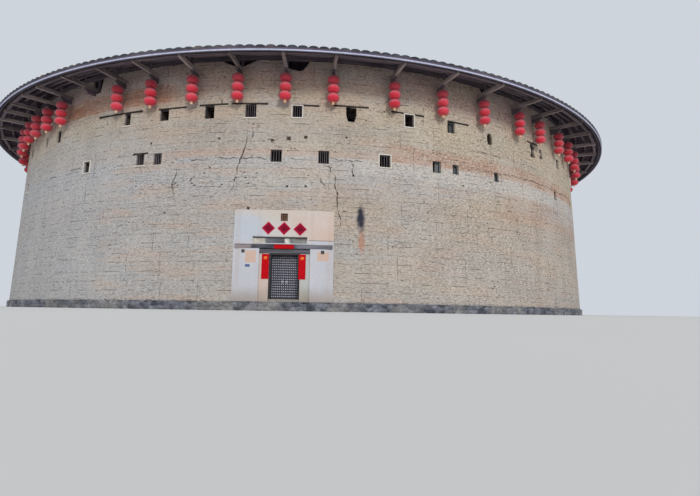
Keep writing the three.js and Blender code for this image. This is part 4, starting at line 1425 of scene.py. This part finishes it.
def tileSlope(inner, outer, underside, slope, sector, outwards):
    # Across a rib the height is a half ellipse over the cover tile and a dip between covers. Down the
    # slope each course rises to its lower edge and drops to the next. A flat sheet closes it below.
    # The rows run inwards, so that the faces look up.
    ribs, courses = slope["ribs"], slope["courses"]
    first, last = (round(bearing * ribs / 360) for bearing in sector)
    phase = np.append(np.tile(roof["phases"], last - first), 0.0)
    rib = np.append(np.repeat(np.arange(first, last), len(roof["phases"])), last)
    bearing = (rib + phase) * 360 / ribs
    bulge = np.sqrt(np.clip(1 - ((phase - 0.5) / roof["coverHalf"]) ** 2, 0, 1))
    profile = np.where(bulge > 0, roof["coverRise"] * bulge, -roof["channelDrop"])
    course, lower = np.divmod(np.arange(2 * courses), 2)
    if outwards:
        course, lower = course[::-1], lower[::-1]
    share = (course + lower) / courses
    radius = (inner + (outer - inner) * (share if outwards else 1 - share))[:, None]
    random, skew = (hashedGrid(np.mod(rib, ribs), course[:, None], seed) for seed in (21, 22))
    height = (underside(radius) + roof["tileBase"] + profile + lower[:, None] * roof["courseStep"]
              + roof["jitter"] * (random - 0.5))
    top = polar(bearing + (skew - 0.5) * roof["skew"], radius, height)
    bottom = polar(bearing, radius, underside(radius) + roof["bedding"])
    return gridPart(np.concatenate([top, bottom[[-1, 0]]]), tint=np.concatenate([random, random[[-1, 0]]]),
                    wrapRows=True)


def tileMaterial():
    material, tree = newMaterial("greyClayTile", 0.85)
    shade = attributeOf(tree, "tint", "Fac")
    clay = mixColour(shade, tone(38, 42, 50), tone(66, 70, 79))
    clay = tinted(clay, remap(shade, 0.9, 0.98) * 0.5, (128, 104, 88))
    return finished(material, *weathered(tree, clay, (122, 124, 126), (30, 32, 38), 0.35, 0.2, 0.5), 0.015)


def buildRidge(clay):
    # Along the ridge the section's cap swells and dips once for each cover tile.
    right = roof["ridgeSection"]
    across, rise = np.array([*right, *[(-x, z) for x, z in right[-2:0:-1]]]).T[:, :, None]
    number = np.arange(roof["ridgeColumns"])
    lift = np.where(rise > roof["capFoot"], roof["ridgeWave"] * (number % 2) / 2, 0.0)
    ridge = house["ridgeRadius"]
    points = polar(evenBearings(len(number)), ridge + across,
                   outerUnderside(ridge) + roof["ridgeRise"] + rise + lift)
    tint = np.broadcast_to(hashedGrid(number // 2, 0.0, 31), points.shape[:2])
    part = gridPart(points, tint=tint, wrapRows=True, wrapColumns=True)
    putPiece("ridge_tiles", [part], clay, replaces=["roof_ridge"], sharpAngle=40)


def edgeBand(key, radius, height, columns=448):
    return bandPart(*(np.array(roof[key]) + [radius, radius, height, height]), columns)


def buildRoof():
    clay = tileMaterial()
    ridge, inner, eave = house["ridgeRadius"], house["innerEave"], house["eaveHeight"]
    outerEdge = house["eaveRadius"] + roof["overhang"]
    for way, near, far, underside in (("outer", ridge, outerEdge, outerUnderside),
                                      ("inner", inner, ridge, innerUnderside)):
        for side, sector in roof[way]["sectors"].items():
            part = tileSlope(near, far, underside, roof[way], sector, way == "outer")
            putPiece(f"{way}_tiles_{side}", [part], clay, replaces=[f"roof_{way}_{side}"],
                     sharpAngle=50)
    print("roof: tiles on both slopes")

    # Boards under the tiles, then the white lath under the tile mouths and the fascias
    edge, thick = outerEdge - roof["boardInset"], roof["boardThickness"]
    boards = [ringPart([[near, underside(near)], [far, underside(far)], [far, underside(far) + thick],
                        [near, underside(near) + thick]])
              for near, far, underside in ((ridge, edge, outerUnderside), (inner, ridge, innerUnderside))]
    boards.append(edgeBand("mouthBoard", outerEdge, eave))
    # The boards' dark purple is painted shade under the eaves.
    dark = agedMaterial("roofBoards", (94, 82, 98), (114, 102, 118), (52, 45, 56), 0.5, 0.1, 0.5)
    putPiece("roof_boards", boards, dark)
    white = agedMaterial("limeLath", (188, 194, 222), (214, 218, 238), (112, 108, 122), 0.5, 0.2, 0.4, 0.7)
    lath = edgeBand("lath", outerEdge, eave, roof["edgeColumns"])
    putPiece("eave_lath", [lath], white)
    # The fascia's dark grey-purple is partly worn timber and partly painted shade under the lath.
    pale = agedMaterial("fasciaWornAndShaded", (88, 82, 92), (112, 106, 116), (56, 50, 58), 0.6, 0.3, 0.4, 0.7)
    fascia = ringPart(np.array(roof["fascia"]) + [house["eaveRadius"], eave], roof["edgeColumns"])
    putPiece("fascia_board", [fascia], pale, replaces=["eave_fascia"])
    brown = woodMaterial("innerFascia", (104, 84, 70), (58, 46, 40), (130, 120, 112))
    fascia = edgeBand("innerFascia", inner, innerUnderside(inner + roof["innerFasciaMiddle"]))
    putPiece("inner_fascia", [fascia], brown)
    buildRidge(clay)


buildRoof()

# Galleries round the courtyard

gallery = {
    "edge": 19.67, "clear": 0.001, "floorSink": 0.07,
    "joistStart": 19.4, "joistDepth": 0.18, "joistWidth": 0.12,
    # the parapets' boards: length, width and thickness, and how far their middles stand over the floor
    "board": (1.0, 0.165, 0.03), "boardGap": 0.012, "boardMiddle": 0.425,
    # radius, height over the floor, width and depth
    "rails": [(19.52, -0.17, 0.13, 0.22), (19.62, 0.95, 0.11, 0.08), (19.62, 0.42, 0.05, 0.07)],
    "postRadius": 19.5, "post": (0.26, 0.26, 0.03),     # width, depth and chamfer
    "plate": (0.2, 0.19), "plateDrop": 0.1, "headDrop": 0.15,       # both drops from the deck above
    "base": [(0.20, 0), (0.225, 0.05), (0.215, 0.18), (0.175, 0.3)],    # radius and height
    "kerb": 0.36, "kerbChamfer": 0.02, "kerbBlocks": 132, "kerbShare": 0.985,
    "floorLap": 0.04, "floorDip": 0.015,
}


def buildGalleries():
    fit, outer = gallery, house["wallInner"] - gallery["clear"]
    brown = woodMaterial("galleryTimber", (132, 104, 84), (70, 54, 46), (150, 140, 130))
    planks = woodMaterial("galleryBoards", (142, 112, 90), (82, 62, 52), (156, 146, 136), 0.45)
    length, width, thick = fit["board"]
    around = evenBearings(int(2 * np.pi * fit["edge"] / (width + fit["boardGap"])))
    parapets = []
    for number, level in enumerate(house["floors"]):
        low = level - fit["floorSink"]
        floor = [bandPart(fit["edge"], outer, low, level),
                 radialBars(np.arange(0, 360, bayAngle / 2), fit["joistStart"], outer,
                            low - fit["joistDepth"], low, fit["joistWidth"], 150 + number)]
        floor += [segmentBars(radius, level + up, width, depth, seed + number)
                  for (radius, up, width, depth), seed in zip(fit["rails"], (160, 170, 175))]
        centres = polar(around, fit["edge"] + thick, level + fit["boardMiddle"])
        parapets.append(copies(boxPart(length, width, thick), centres, 180 + number, upward,
                               sideways(around)))
        putPiece(f"floor_and_joists_{number + 2}", floor, brown,
                 replaces=[f"gallery_floor_{number + 2}"])
    putPiece("parapet_boards", parapets, planks,
             replaces=[f"gallery_parapet_{storey}" for storey in (2, 3, 4)])

    # Posts on stone bases, with a wall plate on their heads
    radius, ground = fit["postRadius"], house["wallFoot"]
    deck = innerUnderside(radius - fit["plate"][0] / 2) - fit["clear"]
    low, high = ground + fit["base"][-1][1], deck - fit["headDrop"]
    standing = frameBearings[frameBearings != entranceFrame]
    posts = copies(barPart(high - low, *fit["post"]), polar(standing, radius, (low + high) / 2), 190,
                   upward, sideways(standing))
    plate = segmentBars(radius, deck - fit["plateDrop"], *fit["plate"], 191)
    putPiece("posts_and_plate", [posts, plate], brown,
             replaces=quarters("gallery_posts_"))
    stone = agedMaterial("postStone", (146, 142, 136), (170, 166, 158), (92, 88, 84), 0.5, 0.2, 0.5)
    feet = copies(lathePart(fit["base"], 12), polar(standing, radius, ground), 192)
    blocks, radius = evenBearings(fit["kerbBlocks"]), house["podiumRadius"] + fit["kerb"] / 2
    block = barPart(1.0, fit["kerb"], ground, fit["kerbChamfer"])
    kerb = copies(block, polar(blocks, radius, ground / 2), 193, sideways(blocks), -outward(blocks),
                  2 * np.pi * radius / len(blocks) * fit["kerbShare"])
    putPiece("kerb_and_bases", [feet, kerb], stone)
    earth = agedMaterial("packedFloor", (150, 134, 116), (172, 158, 140), (110, 96, 82), 0.5, 0.0, 0.4)
    inner = radius + fit["kerb"] / 2 - fit["floorLap"]
    floor = ringPart([[inner, 0.0], [outer, 0.0], [outer, ground], [inner, ground - fit["floorDip"]]])
    putPiece("packed_floor", [floor], earth, replaces=["ground_floor"])
    print("galleries: floors, parapets, posts and kerb")


buildGalleries()

# Lanterns

lanterns = {
    "circle": 26.45, "radius": 0.372, "halfHeight": 0.262, "flat": 0.92, "fullness": 0.85,
    "centres": (12.28, 12.82, 13.36), "sides": 14, "swing": 0.012,
    "capGap": 0.01, "tasselGap": 0.03, "hook": 13.64, "cord": 0.02,
    # radius and height
    "cap": [(0.084, -0.032), (0.105, 0.0), (0.084, 0.032)],
    "tassel": [(0.075, -0.11), (0.07, -0.05), (0.03, 0.0)],
}


def silkMaterial():
    silk, tree = newMaterial("lanternSilk", 0.55)
    x, y, z = axesOf(attributeOf(tree, "local", "Vector"))
    base = mixColour(attributeOf(tree, "tint", "Fac"), tone(214, 16, 46), tone(232, 30, 62))
    # Painted light: the top of each globe is paler pink, as if lit from above.
    base = tinted(base, remap(z, -0.06, 0.14) * 0.65, (246, 132, 150))
    # Painted shade: the globe darkens to crimson towards its rim as its face turns from view.
    facing = addNode(tree, "LayerWeight", {"Blend": 0.35}, "Facing")
    base = tinted(base, remap(facing, 0.25, 0.75) * 0.8, (136, 6, 34))
    # Painted shade of the eaves: the highest globe of each string is darker.
    high = axesOf(realPosition(tree))[2]
    base = tinted(base, remap(high, 13.02, 13.16) * 0.6, (140, 18, 46))
    colour = weathered(tree, base, (236, 110, 122), (140, 14, 34), 0.2, 0.1, 0.15)[0]
    ribs = (y.math("ARCTAN2", x) * 14.0).math("SINE").math("ABSOLUTE")
    colour = tinted(colour, remap(ribs, 0.0, 0.3, 0.35, 0.0), (120, 10, 24))
    return finished(silk, colour, ribs, 0.02, 0.7, **{"Sheen Weight": 0.3})


def buildLanterns():
    # A flattened globe: the radius is the cosine of the height's share, with flat round ends.
    fit = lanterns
    share = np.linspace(-fit["flat"], fit["flat"], 7)
    body = lathePart(np.column_stack([fit["radius"] * np.sqrt(1 - share ** 2) ** fit["fullness"],
                                      share * fit["halfHeight"] / fit["flat"]]), fit["sides"])
    hung = frameBearings[frameBearings != bareFrame]
    count = len(hung)
    random = np.random.default_rng(77)
    globes, trims = [], []
    for number, height in enumerate(fit["centres"]):
        swing = random.uniform(-fit["swing"], fit["swing"], (count, 3)) * [1, 1, 0]
        centres = polar(hung, fit["circle"], height) + swing
        spin = random.uniform(0, 360, count)
        globe = copies(body, centres, 300 + number, sideways(spin), -outward(spin))
        globes.append({**globe, "local": np.tile(body["points"], (count, 1))})
        for side in (-1, 1):
            away = side * (fit["halfHeight"] + fit["capGap"]) * upward
            trims.append(copies(lathePart(fit["cap"], 10), centres + away, 310 + number))
    low, high = fit["centres"][0], fit["hook"]
    foot = polar(hung, fit["circle"], low - fit["halfHeight"] - fit["tasselGap"])
    trims.append(copies(lathePart(fit["tassel"], 8), foot, 320))
    putPiece("lantern_globes", globes, silkMaterial(), replaces=quarters("lanterns_"),
             sharpAngle=60)
    gold = agedMaterial("lanternGold", (244, 196, 160), (254, 238, 222), (214, 142, 98), 0.5, 0.2, 0.2, 0.5)
    putPiece("lantern_trims", trims, gold, sharpAngle=60)
    black = woodMaterial("hangingCord", (60, 50, 46), (30, 26, 24), (80, 74, 70), 0.3)
    cords = copies(boxPart(1.0, fit["cord"], fit["cord"]), polar(hung, fit["circle"], (low + high) / 2),
                   330, upward, (1.0, 0, 0), high - low)
    putPiece("lantern_cords", [cords], black)
    print("lanterns:", 3 * count)


buildLanterns()

# Studio: pale floor, soft light and the photo's camera

studio = {
    "floorRings": (0.01, 20.0, 80.0, 400.0),
    "floorTones": [(214, 212, 208), (220, 219, 216)],
    "skyTone": (222, 228, 236),
    "skyStrength": 0.85,
    "sunStrength": 1.42,
    "sunColour": (1.0, 0.97, 0.93),
    "sunSoftness": 15.0,
    "sunElevation": 24.0,
    "sunBearing": 14.0,     # degrees from the door's side towards the right
}
camera = {
    "distance": 27.41, "bearing": 2.90, "height": 0.02,
    "heading": 1.73, "pitch": 7.04, "roll": 0.865, "lens": 26.38, "sensor": 36.0, "clip": (0.01, 1000.0),
}


def placed(name, data):
    found = bpy.data.objects.new(name, data)
    bpy.context.scene.collection.objects.link(found)
    return found


def buildStudio():
    points = polar(evenBearings(96), np.array(studio["floorRings"])[:, None], 0.0)
    mesh = bpy.data.meshes.new("studioFloor")
    faces = gridFaces(*points.shape[:2], wrapColumns=True)[:, ::-1]
    mesh.from_pydata(points.reshape(-1, 3).tolist(), [], faces.tolist())
    material, tree = newMaterial("paleFloor")
    first, second = (tone(*each) for each in studio["floorTones"])
    mottled = mixColour(noise(addNode(tree, "TexCoord", {}, "Object"), 0.4, 3), first, second)
    mesh.materials.append(finished(material, mottled))
    placed("studioFloor", mesh)

    world = bpy.data.worlds.new("studioSky")
    bpy.context.scene.world = world
    world.use_nodes = True
    setInputs(world.node_tree.nodes["Background"],
              {"Color": tone(*studio["skyTone"]), "Strength": studio["skyStrength"]})
    sun = bpy.data.lights.new("softSun", "SUN")
    sun.energy = studio["sunStrength"]
    sun.angle = math.radians(studio["sunSoftness"])
    sun.color = studio["sunColour"]
    lamp = placed("softSun", sun)
    lamp.rotation_mode = "QUATERNION"
    up = math.radians(studio["sunElevation"])
    towards = polar(studio["sunBearing"], math.cos(up), math.sin(up))
    lamp.rotation_quaternion = Vector(towards.tolist()).to_track_quat("Z", "Y")
    bpy.context.scene.view_settings.view_transform = "Standard"
    bpy.context.scene.view_settings.look = "None"


def buildCamera():
    # The camera looks along its heading and pitch, and roll turns it about that line.
    heading, pitch, roll = (math.radians(camera[key]) for key in ("heading", "pitch", "roll"))
    forward = np.array([math.sin(heading) * math.cos(pitch), math.cos(heading) * math.cos(pitch),
                        math.sin(pitch)])
    right = np.array([math.cos(heading), -math.sin(heading), 0.0])
    up = np.cross(right, forward)
    cameraX = math.cos(roll) * right + math.sin(roll) * up
    cameraY = math.cos(roll) * up - math.sin(roll) * right
    place = polar(camera["bearing"], camera["distance"], camera["height"])
    columns = np.column_stack([cameraX, cameraY, -forward, place])
    lens = bpy.data.cameras.new("photoCamera")
    lens.sensor_width = camera["sensor"]
    lens.lens = camera["lens"]
    lens.clip_start, lens.clip_end = camera["clip"]
    body = placed("photoCamera", lens)
    body.matrix_world = Matrix(columns.tolist() + [[0, 0, 0, 1]])
    bpy.context.scene.camera = body


buildStudio()
buildCamera()
print("studio and camera ready")
